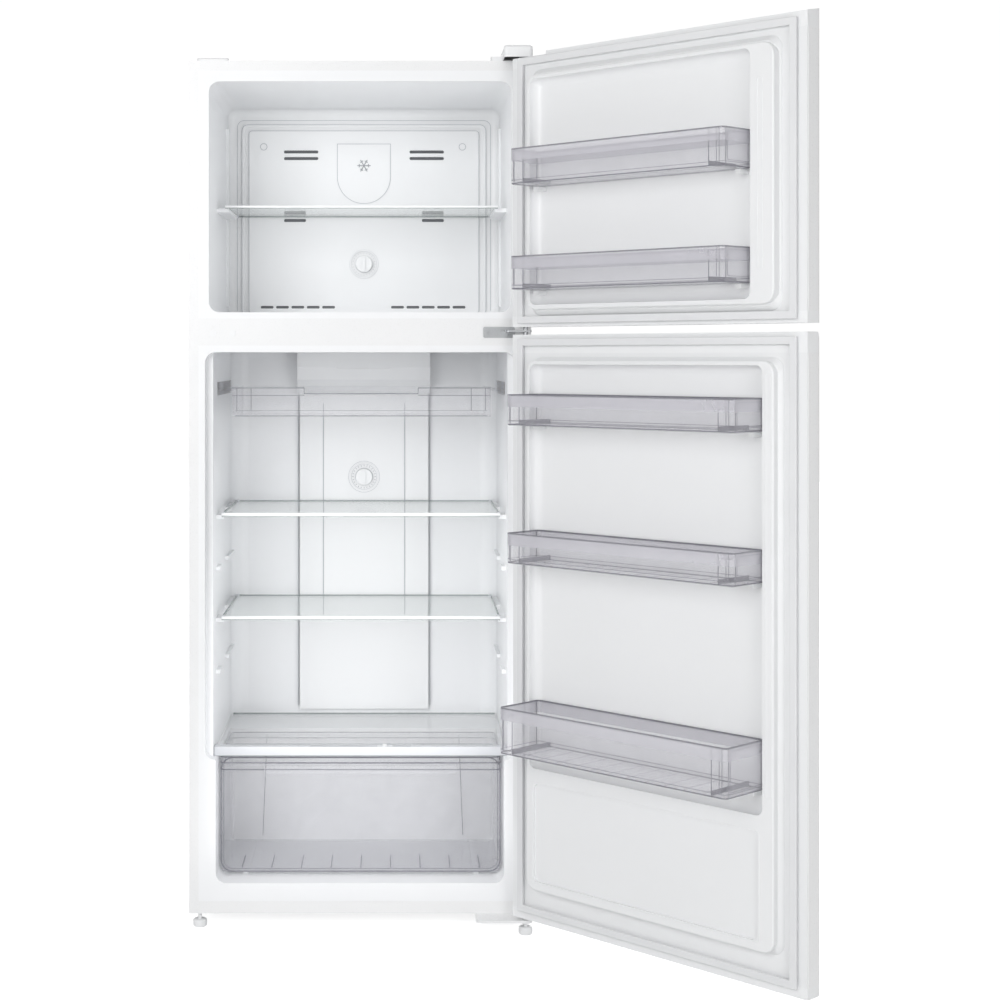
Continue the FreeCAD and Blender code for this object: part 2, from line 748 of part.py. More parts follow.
def make_defrost_heater():
    """The defrost heater: a glass-sheathed tube below the coil, with a cap at each end."""
    deep = front + sized("cover_deep") + 44
    pieces = [
        primitive_rod("heater_tube", -170, deep, 1281, 5, 340, "X"),
        primitive_rod("heater_cap_left", -182, deep, 1281, 8, 14, "X"),
        primitive_rod("heater_cap_right", 168, deep, 1281, 8, 14, "X"),
    ]
    fuse_all("defrost_heater", pieces)


def make_shelf(label, half, near, far, low, lip):
    """A clear shelf with a thicker front trim."""
    body = new_body(label)
    plate = sized("shelf_plate")
    block(body, "XY", -half, half, front + near, front + far, low, low + plate)
    block(body, "XY", -half, half, front + near, front + near + 8, low + plate - lip, low + plate)
    soften(body, 6, lambda edge: along(edge, 2) and at(edge, y=front + near))


# ---- fresh food compartment ------------------------------------------------------------

DUCT_HALF = 147
HOUSING_LOW = 1083
HOUSING_FRONT = 400
DAMPER_HALF_OPEN = 30


def make_duct_cover():
    """The tall panel up the middle of the back wall: it hides the air duct and holds the control."""
    body = new_body("duct_cover")
    face = fridge_back - 10
    block(body, "XZ", -DUCT_HALF, DUCT_HALF, crisper_top + 19, HOUSING_LOW - 0.3, face, fridge_back)
    hollow(body, "XZ", -DUCT_HALF + 12, DUCT_HALF - 12, crisper_top + 40, HOUSING_LOW - 20,
           face + 3, fridge_back + 1)
    for side in (-1, 1):
        hollow(body, "XZ", side * 93 - 1.5, side * 93 + 1.5, 580, HOUSING_LOW - 20, face - 1, face + 1)
    sketch = new_sketch(body, "XZ", face + 1)
    draw_circle(sketch, 0, FRIDGE_KNOB_UP, 32.5)
    draw_circle(sketch, 0, FRIDGE_KNOB_UP, 29.5)
    pad(body, sketch, 4)
    bore(body, "XZ", 0, FRIDGE_KNOB_UP, 4 + fit, face - 4, face + 4)


def make_lamp_housing():
    """The curved housing at the top of the duct, which bulges forward over the lamp."""
    body = new_body("lamp_housing")
    near = front + HOUSING_FRONT
    top = fridge_ceiling
    prism(body, "YZ", [
        (near, top),
        (near, HOUSING_LOW + 62),
        (near + 8, HOUSING_LOW + 34),
        (near + 26, HOUSING_LOW + 12),
        (near + 50, HOUSING_LOW),
        (fridge_back, HOUSING_LOW),
        (fridge_back, top),
    ], -150, 150)
    hollow(body, "YZ", near + 36, fridge_back + 1, HOUSING_LOW + 26, top - 8, -142, 142)
    hollow(body, "XZ", -62, 62, HOUSING_LOW + 60, top - 18, near - 1, near + 40, 4)


def make_lamp_lens():
    """The clear lens that closes the lamp opening."""
    body = new_body("lamp_lens")
    near = front + HOUSING_FRONT
    block(body, "XZ", -61.8, 61.8, HOUSING_LOW + 60.2, fridge_ceiling - 18.2, near + 1, near + 4, 4)


def make_damper_flap():
    """The flap in the air duct that the control knob opens and closes."""
    body = new_body("damper_flap")
    block(body, "XY", -26, 26, -20, 0, -0.75, 0.75)
    rod(body, "YZ", 0, 0, 1.8, -32, 32)
    body.Placement = FreeCAD.Placement(
        FreeCAD.Vector(0, number(fridge_back) - 6, HOUSING_LOW + 31),
        FreeCAD.Rotation(FreeCAD.Vector(1, 0, 0), -DAMPER_HALF_OPEN),
    )
    bind(body, "Placement.Base.y", fridge_back - 6)


def make_crisper_cover():
    """The lid over the drawer: a plate with a deep front trim and a slot for the humidity slider."""
    body = new_body("crisper_cover")
    half = fridge_half - 1
    low = crisper_top + 0.3
    block(body, "XY", -half, half, front + 40, front + 446, low + 8, low + 12)
    block(body, "XY", -half, half, front + 40, front + 62, low, low + 18)
    soften(body, 4, lambda edge: along(edge, 0) and at(edge, y=front + 40, z=low + 18))
    hollow(body, "XY", -104, 104, front + 44, front + 58, low + 14, low + 19, 3)
    hollow(body, "XY", -60, 60, front + 49, front + 53, low - 1, low + 15)


def make_humidity_slider():
    """A small button that slides along the slot in the lid's front trim."""
    body = new_body("humidity_slider")
    low = crisper_top + 0.3
    block(body, "XY", -16, 16, front + 45, front + 57, low + 14.3, low + 17.3, 2)
    rod(body, "XY", 0, front + 51, 4.5, low + 16, low + 21)
    block(body, "XY", -4, 4, front + 49.5, front + 52.5, low + 4, low + 15)
    place(body, 50, 0, 0)


def make_open_box(label, left, right, near, far, low, high, thick, radius):
    """A moulded tray or drawer that is open on top."""
    body = new_body(label)
    block(body, "XY", left, right, near, far, low, high, radius)
    hollow(body, "XY", left + thick, right - thick, near + thick, far - thick,
           low + thick, high + 1, radius - thick)
    return body


def make_crisper_drawer():
    """The deep drawer; its lower edges are rounded to clear the liner's own rounded corners."""
    bottom = fridge_floor + 6.5
    body = make_open_box("crisper_drawer", -crisper_half + 4, crisper_half - 4, front + 60,
                         crisper_back - 12, bottom, crisper_top - 6, sized("bin_wall"), 12)
    soften(body, 6, lambda edge: at(edge, z=bottom) and (along(edge, 0) or along(edge, 1)))
    low = crisper_top - 40
    block(body, "XY", -200, 200, front + 52, front + 61, low + 16, low + 20, 3)
    block(body, "XY", -200, 200, front + 50, front + 53, low, low + 20, 1)


def make_chiller_tray():
    """The shallow sliding tray, with a dip in its front and a rim along each side."""
    body = make_open_box("chiller_tray", -274, 274, front + 120, front + 390, 1043, 1104,
                         sized("bin_wall"), 10)
    near = front + 119
    hollow(body, "XZ", -120, 120, 1092, 1105, near, near + 5)
    for side in (-1, 1):
        edges = sorted((side * 273, side * 283))
        block(body, "XY", edges[0], edges[1], front + 124, front + 386, 1100, 1103)


def make_tray_rails():
    """Two angle rails under the ceiling's side walls; the tray's rims slide on them."""
    body = new_body("tray_rails")
    for side in (-1, 1):
        upright = sorted((side * (fridge_half - 3), side * fridge_half), key=number)
        ledge = sorted((side * 279, side * (fridge_half - 1)), key=number)
        block(body, "XY", upright[0], upright[1], front + 118, front + 440, 1088, 1116)
        block(body, "XY", ledge[0], ledge[1], front + 118, front + 440, 1096.7, 1099.7)


# ---- doors -----------------------------------------------------------------------------

door_front = -sized("door_front")
door_inner = sized("door_inner")
door_right = half_width - sized("pin_side")
door_left = door_right - sized("cab_width")
cap_rise = sized("cap_rise")
HINGE_NOTCH = 75
FREE_EDGE_SLOPE = 7
GASKET_LEFT = -668
GASKET_RIGHT = -6


def door_corners(body):
    """Rounds the two upright outer edges of a door piece."""
    soften(body, sized("door_edge_radius"),
           lambda edge: along(edge, 2) and at(edge, y=door_front))


def make_door_skin(label, low, high):
    """The painted steel skin: the door's outer face and both upright sides."""
    body = new_body(label)
    block(body, "XY", door_left, door_right, door_front, door_inner - 2.5, low, high)
    door_corners(body)
    hollow(body, "XY", door_left + steel, door_right - steel, door_front + steel, door_inner + 30,
           low - 1, high + 1, sized("door_edge_radius") - steel)
    hang_on_door(body)


def make_door_foam(label, low, high):
    """The foamed core of the door."""
    body = new_body(label)
    block(body, "XY", door_left + steel, door_right - steel, door_front + steel,
          door_inner - wall, low, high)
    soften(body, sized("door_edge_radius") - steel,
           lambda edge: along(edge, 2) and at(edge, y=door_front + steel))
    hang_on_door(body)


def make_door_liner(label, low, high, base, crest, recess, panel=None):
    """The formed inner liner: a flat border, a raised frame and the recess that holds the bins.
    The frame's sloping base stays before the cabinet's face, and its crest enters the opening."""
    body = new_body(label)
    rise = door_inner + sized("dyke_rise")
    slope = door_inner + sized("gasket_rise")
    block(body, "XZ", door_left + steel, door_right - steel, low, high, door_inner - wall, door_inner)
    left, right, bottom, top = base
    block(body, "XZ", left, right, bottom, top, door_inner - wall, slope, 24)
    soften(body, sized("gasket_rise") - 1, lambda edge: at(edge, y=slope), "Chamfer")
    left, right, bottom, top = crest
    block(body, "XZ", left, right, bottom, top, door_inner - wall, rise, 24)
    soften(body, 3, lambda edge: at(edge, y=rise))
    left, right, bottom, top = recess
    hollow(body, "XZ", left, right, bottom, top, door_inner, rise + 1, 14)
    if panel is not None:
        left, right, bottom, top = panel
        hollow(body, "XZ", left, right, bottom, top, rise - 5, rise + 1, 12)
    return body


def add_bin_lugs(body, spots):
    """A pair of lugs in the recess under each bin, one at each end."""
    for left, right, low in spots:
        for across in (left + 8, right - 20):
            block(body, "XZ", across, across + 12, low - 8.3, low - 0.3, door_inner - 1, door_inner + 26)


def make_gasket(label, low, high):
    """The magnetic seal round the door's inner face."""
    body = new_body(label)
    width = sized("gasket_width")
    top = door_inner + sized("gasket_rise")
    block(body, "XZ", GASKET_LEFT, GASKET_RIGHT, low, high, door_inner, top, 6)
    hollow(body, "XZ", GASKET_LEFT + width, GASKET_RIGHT - width, low + width, high - width,
           door_inner - 1, top + 1)
    hang_on_door(body)


def make_bin(label, left, right, deep, low, high):
    """A door bin that hangs against the liner and is open on top."""
    body = make_open_box(label, left, right, door_inner + 1, door_inner + deep, low, high,
                         sized("bin_wall"), 10)
    soften(body, 6, lambda edge: at(edge, z=low) and along(edge, 0))
    hang_on_door(body)


def make_freezer_door():
    low = sized("freezer_door_low")
    high = sized("freezer_door_high")
    top_cap_low = cab_top - 3 - cap_rise
    make_door_skin("freezer_door_skin", low + cap_rise, top_cap_low)
    make_door_foam("freezer_door_foam", low + cap_rise, top_cap_low)
    liner = make_door_liner("freezer_door_liner", low + cap_rise, top_cap_low,
                            (-633, -38, 1251, 1742), (-630, -42, 1263, 1729),
                            (-580, -52, 1272, 1721))
    add_bin_lugs(liner, [(-570, -57, 1506), (-570, -57, 1300)])
    hang_on_door(liner)
    caps = new_body("freezer_door_caps")
    block(caps, "XY", door_left, door_right, door_front, door_inner, top_cap_low, high)
    block(caps, "XY", door_left, door_right, door_front, door_inner, low, low + cap_rise)
    door_corners(caps)
    doc.recompute()
    sketch = new_sketch(caps, "YZ", door_right + 1)
    draw_outline(sketch, [(door_inner + 1, high - FREE_EDGE_SLOPE), (door_inner + 1, high + 1),
                          (door_front + 4, high + 1)])
    pocket(caps, sketch, sized("cab_width") + 2)
    hollow(caps, "XY", -HINGE_NOTCH, door_right + 1, door_front - 1, door_inner + 1,
           cab_top - 3, high + 1)
    bore(caps, "XY", 0, 0, pin_radius + fit, cab_top - 23, cab_top - 2)
    bore(caps, "XY", 0, 0, pin_radius + fit, low - 1, low + 14)
    hollow(caps, "XY", -470, -230, door_front + 7, door_inner - 13, low - 1, low + 15, 8)
    hang_on_door(caps)
    make_gasket("freezer_door_gasket", 1236, 1768)
    make_bin("freezer_bin_upper", -570, -57, sized("freezer_bin_deep"), 1506, 1577)
    make_bin("freezer_bin_lower", -570, -57, sized("freezer_bin_deep"), 1300, 1366)


def make_fridge_door():
    low = sized("fridge_door_low")
    high = sized("fridge_door_high")
    cap_top_low = high - 37
    make_door_skin("fridge_door_skin", low + cap_rise, cap_top_low)
    make_door_foam("fridge_door_foam", low + cap_rise, cap_top_low)
    liner = make_door_liner("fridge_door_liner", low + cap_rise, cap_top_low,
                            (-637, -38, 104, 1168), (-629.5, -42.5, 110, 1162),
                            (-606, -51, 352, 1154), (-596, -62, 128, 322))
    add_bin_lugs(liner, [(-598, -56, 1034), (-598, -56, 764), (-598, -56, 394)])
    hang_on_door(liner)
    caps = new_body("fridge_door_caps")
    block(caps, "XY", door_left, door_right, door_front, door_inner, cap_top_low, high)
    block(caps, "XY", door_left, door_right, door_front, door_inner, low, low + cap_rise)
    door_corners(caps)
    doc.recompute()
    sketch = new_sketch(caps, "YZ", door_right + 1)
    draw_outline(sketch, [(door_front - 1, high + 1), (door_front - 1, cap_top_low + 4),
                          (door_front + 5, high - 14), (door_front + 14, high + 1)])
    pocket(caps, sketch, sized("cab_width") + 2)
    bore(caps, "XY", 0, 0, pin_radius + fit, high - 20, high + 1)
    bore(caps, "XY", 0, 0, pin_radius + fit, low - 1, low + 16)
    hang_on_door(caps)
    make_gasket("fridge_door_gasket", 56, 1205)
    make_bin("fridge_bin_upper", -598, -56, sized("fridge_bin_deep"), 1034, 1095)
    make_bin("fridge_bin_middle", -598, -56, sized("fridge_bin_deep"), 764, 824)
    make_bin("fridge_bin_lower", -598, -56, sized("bottle_bin_deep"), 394, 485)


# ---- hinges, covers and feet -----------------------------------------------------------

pin_side = sized("pin_side")
pin_deep = front - sized("pin_forward")
hinge_right = half_width - 1


def make_top_hinge():
    """A steel plate screwed to the cabinet's top, with its pin turned down into the freezer door."""
    body = new_body("top_hinge")
    block(body, "XY", pin_side - 66, hinge_right, front + 8, front + 62, cab_top, cab_top + 3, 6)
    block(body, "XY", pin_side - 14, hinge_right, pin_deep - 13, front + 30, cab_top, cab_top + 3, 6)
    rod(body, "XY", pin_side, pin_deep, pin_radius, cab_top - 20, cab_top + 1)
    for across, deep in TOP_SCREWS:
        bore(body, "XY", across, front + deep, SCREW_HOLE, cab_top - 1, cab_top + 4)


def make_middle_hinge():
    """A plated bracket screwed to the middle rail; one pin up, one pin down."""
    body = new_body("middle_hinge")
    block(body, "XZ", 252, 316, HINGE_PLATE_UP - 11, HINGE_PLATE_UP + 11, front - 3, front, 3)
    block(body, "XY", 296, half_width - 2, pin_deep - 12, front - 1, HINGE_PLATE_UP, HINGE_PLATE_UP + 4, 5)
    rod(body, "XY", pin_side, pin_deep, pin_radius, 1200, 1241)
    for across, up in MIDDLE_SCREWS:
        bore(body, "XZ", across, up, SCREW_HOLE, front - 4, front + 1)


def make_bottom_hinge():
    """A bracket under the lower rail: its pin turns up into the door, and the right foot's
    stud screws into it from below."""
    body = new_body("bottom_hinge")
    top = cab_base
    block(body, "XY", 236, hinge_right, pin_deep - 16, front + 34, top - 5, top, 8)
    rod(body, "XY", pin_side, pin_deep, 9, top - 9, top - 4)
    rod(body, "XY", pin_side, pin_deep, pin_radius, top - 1, top + 22)
    bore(body, "XY", pin_side, pin_deep, sized("stud_radius") + fit, top - 10, top + 6)
    for across, deep in BOTTOM_SCREWS:
        bore(body, "XY", across, front + deep, SCREW_HOLE, top - 6, top + 1)


def make_hinge_screws():
    """The screws of the three hinges."""
    body = new_body("hinge_screws")
    for across, deep in TOP_SCREWS:
        rod(body, "XY", across, front + deep, SCREW_SHANK, cab_top - 0.9, cab_top + 3.5)
        rod(body, "XY", across, front + deep, SCREW_HEAD, cab_top + 3, cab_top + 5.5)
    for across, up in MIDDLE_SCREWS:
        rod(body, "XZ", across, up, SCREW_SHANK, front - 3.5, front + 1.5)
        rod(body, "XZ", across, up, SCREW_HEAD, front - 5, front - 3)
    for across, deep in BOTTOM_SCREWS:
        rod(body, "XY", across, front + deep, SCREW_SHANK, cab_base - 5.5, cab_base + 12)
        rod(body, "XY", across, front + deep, SCREW_HEAD, cab_base - 8, cab_base - 5)


def make_hinge_cover():
    """The moulded cover over the top hinge: a low step on the left and a domed part on the right."""
    body = new_body("top_hinge_cover")
    low = cab_top + 0.3
    block(body, "XY", pin_side - 68, half_width, front + 4, front + 70, low, low + 9, 6)
    block(body, "XY", pin_side - 45, half_width, pin_deep - 18, front + 66, low, low + 24, 8)
    soften(body, 6, lambda edge: at(edge, z=low + 24))
    hollow(body, "XY", pin_side - 66.4, half_width - 0.8, front + 6, front + 68, low - 1, low + 7, 5)
    hollow(body, "XY", pin_side - 43, half_width - 0.8, pin_deep - 16, front + 64, low - 1, low + 20, 6)


def make_cabinet_plugs():
    """The cap over the unused hinge holes on top and the two round plugs in the rail."""
    body = new_body("cabinet_plugs")
    block(body, "XY", -half_width + 16, -half_width + 82, front + 1, front + 52, cab_top, cab_top + 6, 8)
    soften(body, 3, lambda edge: at(edge, z=cab_top + 6))
    for across in RAIL_PLUGS:
        rod(body, "XZ", across, RAIL_PLUG_UP, 6.8, front - 2, front)
        rod(body, "XZ", across, RAIL_PLUG_UP, 3.9, front - 1, front + 8)


def make_foot(label, across, deep, stud_top):
    """A ribbed levelling foot on a threaded stud."""
    body = new_body(label)
    radius = sized("foot_radius")
    stud = sized("stud_radius")
    turned(body, [
        (0, 0), (radius - 2, 0), (radius, 2), (radius, 14), (radius - 2, 16),
        (stud, 16), (stud, stud_top - 1), (stud - 1, stud_top), (0, stud_top),
    ])
    place(body, across, deep, 0)


def make_roller(label, across):
    """A plain plastic roller."""
    body = new_body(label)
    radius = sized("roller_radius")
    half = ROLLER_WIDTH / 2
    rod(body, "YZ", 0, 0, radius, -half, half)
    soften(body, 2, lambda edge: not along(edge, 0))
    bore(body, "YZ", 0, 0, 3 + fit, -half - 1, half + 1)
    place(body, across, ROLLER_BACK, radius)


def make_roller_axles():
    """The two short axles of the rear rollers."""
    body = new_body("roller_axles")
    for side in (-1, 1):
        middle = side * ROLLER_SIDE
        rod(body, "YZ", ROLLER_BACK, sized("roller_radius"), 3,
            middle - ROLLER_WIDTH / 2 - 4, middle + ROLLER_WIDTH / 2 + 4)


# ---- machine compartment and rear ------------------------------------------------------

COMPRESSOR_SIDE = 90
compressor_deep = machine_front + 118
COMPRESSOR_FEET = ((-88, -55), (88, -55), (-88, 55), (88, 55))


def make_compressor():
    """The sealed compressor: a welded two-part shell, its feet plate and a terminal box."""
    body = new_body("compressor")
    radius = 78
    turned(body, [
        (0, 0), (40, 4), (64, 16), (radius, 42), (radius, 80), (radius + 4, 80), (radius + 4, 86),
        (radius, 86), (radius, 104), (66, 134), (42, 148), (0, 154),
    ])
    block(body, "XY", -102, 102, -68, 68, 12, 15, 12)
    for across, deep in COMPRESSOR_FEET:
        bore(body, "XY", across, deep, 6, 11, 16)
    block(body, "XZ", -110, -70, 50, 100, -28, 28, 4)
    place(body, COMPRESSOR_SIDE, compressor_deep, cab_base + 10)


def make_grommets():
    """Four rubber mounts between the compressor's feet and the base."""
    body = new_body("compressor_grommets")
    for across, deep in COMPRESSOR_FEET:
        x = COMPRESSOR_SIDE + across
        rod(body, "XY", x, compressor_deep + deep, 11, cab_base + 2, cab_base + 22)
        rod(body, "XY", x, compressor_deep + deep, 5.8, cab_base + 21, cab_base + 30)


def make_drip_tray():
    """The shallow tray over the compressor, where the defrost water dries away."""
    body = make_open_box("drip_tray", COMPRESSOR_SIDE - 100, COMPRESSOR_SIDE + 100,
                         compressor_deep - 62, compressor_deep + 62,
                         cab_base + 170, cab_base + 205, 2, 14)
    for side in (-1, 1):
        edges = sorted((COMPRESSOR_SIDE + side * 60, COMPRESSOR_SIDE + side * 66))
        block(body, "XY", edges[0], edges[1], compressor_deep - 40, compressor_deep + 40,
              cab_base + 163, cab_base + 171)


def make_condenser():
    """The rear condenser: a serpentine tube held off the back by two upright rails."""
    deep = back + 16
    pieces = serpentine("condenser", 270, deep, 420, 72, 17, 2.6)
    for side in (-1, 1):
        x = side * 250 - 8
        pieces.append(primitive_box(f"condenser_rail{side + 1}", x, deep - 4.5, 400, 16, 2, 1190))
        for up in (420, 1000, 1570):
            pieces.append(primitive_box(f"condenser_stay{side + 1}_{up}", x, back, up, 16, 13, 3))
    fuse_all("condenser", pieces)


def make_filter_drier():
    """The filter drier: a copper bulb with its two stub tubes, upright beside the compressor."""
    body = new_body("filter_drier")
    turned(body, [(0, -40), (3, -40), (3, -14), (9, -4), (9, 74), (2, 86), (2, 110), (0, 110)])
    place(body, -120, machine_front + 150, cab_base + 60)


def make_mains_inlet():
    """The moulded mains inlet at the back; the lead itself is separate."""
    body = new_body("mains_inlet")
    block(body, "XZ", -262, -212, cab_base + 60, cab_base + 92, back - 24, back - 2, 4)
    hollow(body, "XZ", -256, -218, cab_base + 66, cab_base + 86, back - 20, back - 1, 3)
    block(body, "XY", -262, -212, back - 24, back - 14, cab_base + 2, cab_base + 61)


# ---- everything ------------------------------------------------------------------------

make_outer_shell()
make_rear_panel()
make_base_plate()
make_foam()
make_freezer_liner()
make_fridge_liner()
make_middle_rail()
make_lower_rail()
make_evaporator_cover()
make_shield_badge()
make_knob("freezer_knob", 0, front + sized("cover_deep") - 5, KNOB_UP, 14)
make_fan()
make_evaporator()
make_defrost_heater()
make_shelf("freezer_shelf", 290, 152, 432, FREEZER_SHELF_LOW, 6)
make_shelf("upper_shelf", 291, 85, 452, UPPER_SHELF_LOW, 9)
make_shelf("lower_shelf", 291, 85, 452, LOWER_SHELF_LOW, 9)
make_duct_cover()
make_lamp_housing()
make_lamp_lens()
make_knob("fridge_knob", 0, fridge_back - 10, FRIDGE_KNOB_UP, 8)
make_damper_flap()
make_crisper_cover()
make_humidity_slider()
make_crisper_drawer()
make_chiller_tray()
make_tray_rails()
make_freezer_door()
make_fridge_door()
make_top_hinge()
make_middle_hinge()
make_bottom_hinge()
make_hinge_screws()
make_hinge_cover()
make_cabinet_plugs()
make_foot("front_foot_left", FOOT_SIDE, front + FOOT_BACK, 46)
make_foot("front_foot_right", pin_side, pin_deep, 35)
make_roller("rear_roller_left", -ROLLER_SIDE)
make_roller("rear_roller_right", ROLLER_SIDE)
make_roller_axles()
make_compressor()
make_grommets()
make_drip_tray()
make_condenser()
make_filter_drier()
make_mains_inlet()

doc.recompute()

PRIMITIVES = {name for fused in doc.Objects if fused.TypeId == "Part::MultiFuse"
              for name in (piece.Name for piece in fused.Shapes)}
sub_parts = [thing for thing in doc.Objects
             if thing.TypeId in ("PartDesign::Body", "Part::MultiFuse") and thing.Name not in PRIMITIVES]

for thing in doc.Objects:
    if {"Invalid", "Error"} & set(thing.State):
        raise RuntimeError(f"{thing.Label} failed: {thing.State}")

for thing in sub_parts:
    shape = thing.Shape
    if shape.isNull() or not shape.isValid() or shape.Volume <= 0:
        raise RuntimeError(f"{thing.Label} has no valid solid")
    shape.exportStep(f"parts/{thing.Label}.step")
    print(f"{thing.Label}: {shape.Volume / 1000:.1f} cm3, {len(shape.Solids)} solid(s)")
print(f"{len(sub_parts)} sub-parts written")
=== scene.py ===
# %% [markdown]
# # Top freezer refrigerator
# The frame is the measured model: every steel, plastic and glass part at its place, in metres, with +Z up and the
# front towards -Y. This script only gives it its finishes and small moulded details, so nothing here changes a size.

# %% Load the frame
import math

import bmesh
import bpy
from mathutils import Matrix, Vector


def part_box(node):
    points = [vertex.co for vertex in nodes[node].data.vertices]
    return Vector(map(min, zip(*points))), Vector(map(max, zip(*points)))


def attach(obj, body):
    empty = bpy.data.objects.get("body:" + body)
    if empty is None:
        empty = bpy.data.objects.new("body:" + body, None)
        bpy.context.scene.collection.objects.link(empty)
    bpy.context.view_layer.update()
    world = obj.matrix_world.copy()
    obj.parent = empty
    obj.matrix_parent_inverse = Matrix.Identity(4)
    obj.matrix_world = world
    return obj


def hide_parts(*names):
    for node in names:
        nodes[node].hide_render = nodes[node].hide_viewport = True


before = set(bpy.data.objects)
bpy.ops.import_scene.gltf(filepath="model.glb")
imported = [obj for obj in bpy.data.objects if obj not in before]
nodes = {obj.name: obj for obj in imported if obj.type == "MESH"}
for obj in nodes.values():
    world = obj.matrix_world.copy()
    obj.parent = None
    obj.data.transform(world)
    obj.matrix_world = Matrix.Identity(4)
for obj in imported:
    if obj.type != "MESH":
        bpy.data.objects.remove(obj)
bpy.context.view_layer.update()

scene = bpy.context.scene

# %% [markdown]
# ## Sizes that several pieces share
# The cabinet's front, back and half width come from the frame's own boxes. The hinge pin's place is given from the
# cabinet's front. The doors are drawn shut, about that pin, and turned open with one matrix, as a fitter hangs them.
# Detail measures are in millimetres, and F is the cabinet's front in millimetres.

# %% Shared sizes
MM = 0.001
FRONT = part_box("freezer_liner")[0].y
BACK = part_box("rear_panel")[1].y
CABINET_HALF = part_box("outer_shell")[1].x
F = FRONT / MM
PIN_SIDE, PIN_FORWARD, DOOR_ANGLE = 336, 34, 134
PIN = Vector((PIN_SIDE * MM, FRONT - PIN_FORWARD * MM, 0))
DOOR_OPEN = Matrix.Translation(PIN) @ Matrix.Rotation(math.radians(DOOR_ANGLE), 4, "Z")
DOOR_INNER = 23
print("cabinet is", round(2 * CABINET_HALF, 3), "m wide; doors hang at", tuple(round(v, 3) for v in PIN))

# %% [markdown]
# ## Camera
# A long lens from four metres away, level with the shelves, keeps the cabinet's sides upright, as a catalogue view
# does. The lens is shifted rather than tilted for the same reason.

# %% Camera
camera = bpy.data.objects.new("camera", bpy.data.cameras.new("camera"))
scene.collection.objects.link(camera)
camera.location = (0.0787, -4.123, 1.168)
camera.rotation_euler = (math.radians(90), 0, 0)
camera.data.lens = 67.34
camera.data.sensor_width = 36
camera.data.shift_x = 0.1015
camera.data.shift_y = -0.1427
scene.camera = camera
print("camera", tuple(round(v, 3) for v in camera.location))

# %% [markdown]
# ## Helpers for nodes and colours
# Shader trees and geometry trees are built the same way, so one small function adds any node: its settings are named
# words, and its sockets take either a value or another node's output. Paint charts give sRGB colours, while Blender
# works in linear light, so one function turns them.

# %% Node and colour helpers


def add(tree, kind, sockets=None, **settings):
    """Adds a node. A socket's entry is a value, or an output to link from."""
    node = tree.nodes.new(kind)
    for name, value in settings.items():
        setattr(node, name, value)
    for socket, value in (sockets or {}).items():
        if isinstance(value, bpy.types.NodeSocket):
            tree.links.new(value, node.inputs[socket])
        else:
            node.inputs[socket].default_value = value
    return node


def linear(hex_colour):
    """An sRGB hex colour as linear RGBA."""
    channels = [int(hex_colour[i:i + 2], 16) / 255 for i in (1, 3, 5)]
    curved = [c / 12.92 if c <= 0.04045 else ((c + 0.055) / 1.055) ** 2.4 for c in channels]
    return (*curved, 1.0)


# %% [markdown]
# ## Studio
# White goods are photographed in a white room: an even glow from all round, a large soft box before the open
# compartments, and a pale floor that runs out of sight. The world looks white to the camera, and lights the object
# with less than that, so that the white enamel doesn't burn out.

# %% World and soft boxes
scene.view_settings.view_transform = "Standard"
scene.cycles.transparent_max_bounces = 32
world = bpy.data.worlds.new("white_room")
scene.world = world
world.use_nodes = True
world.node_tree.nodes.clear()
WORLD_GLOW = 0.49
seen = add(world.node_tree, "ShaderNodeLightPath")
glow = add(world.node_tree, "ShaderNodeMapRange", {
    "Value": seen.outputs["Is Camera Ray"], "To Min": WORLD_GLOW, "To Max": 1.02})
sky = add(world.node_tree, "ShaderNodeBackground", {"Color": (1, 1, 1, 1), "Strength": glow.outputs["Result"]})
add(world.node_tree, "ShaderNodeOutputWorld", {"Surface": sky.outputs["Background"]})


def soft_box(name, place, target, width, height, watts):
    """A rectangular area light that faces a target point."""
    light = bpy.data.lights.new(name, "AREA")
    light.shape = "RECTANGLE"
    light.size, light.size_y, light.energy = width, height, watts
    lamp = bpy.data.objects.new(name, light)
    scene.collection.objects.link(lamp)
    lamp.location = place
    lamp.visible_camera = False
    lamp.rotation_euler = (Vector(target) - Vector(place)).to_track_quat("-Z", "Y").to_euler()


soft_box("key_box", (-1.25, -3.6, 1.9), (0.1, -0.2, 1.0), 1.5, 1.5, 46)
soft_box("fill_box", (1.7, -3.9, 0.9), (0.0, 0, 0.8), 1.2, 1.4, 20)
soft_box("rear_box", (1.0, 4.2, 2.2), (0, 0.2, 0.9), 2.4, 2.4, 90)

# %% [markdown]
# Deep compartments swallow light. A photographer tapes a sheet of diffuser just outside each opening and lights
# through it; here a weak area light in each opening plane, facing inwards, does the same.

# %% Opening glows
soft_box("freezer_glow", (0, FRONT - 0.01, 1.496), (0, 0, 1.496), 0.56, 0.42, 0.30)
soft_box("fridge_glow", (0, FRONT - 0.01, 0.56), (0, 0, 0.52), 0.56, 0.84, 0.95)

# %% [markdown]
# The floor is one wide matt disc. A faint glow of its own keeps the shadow under the cabinet light, as bounced light
# does in a small white studio.

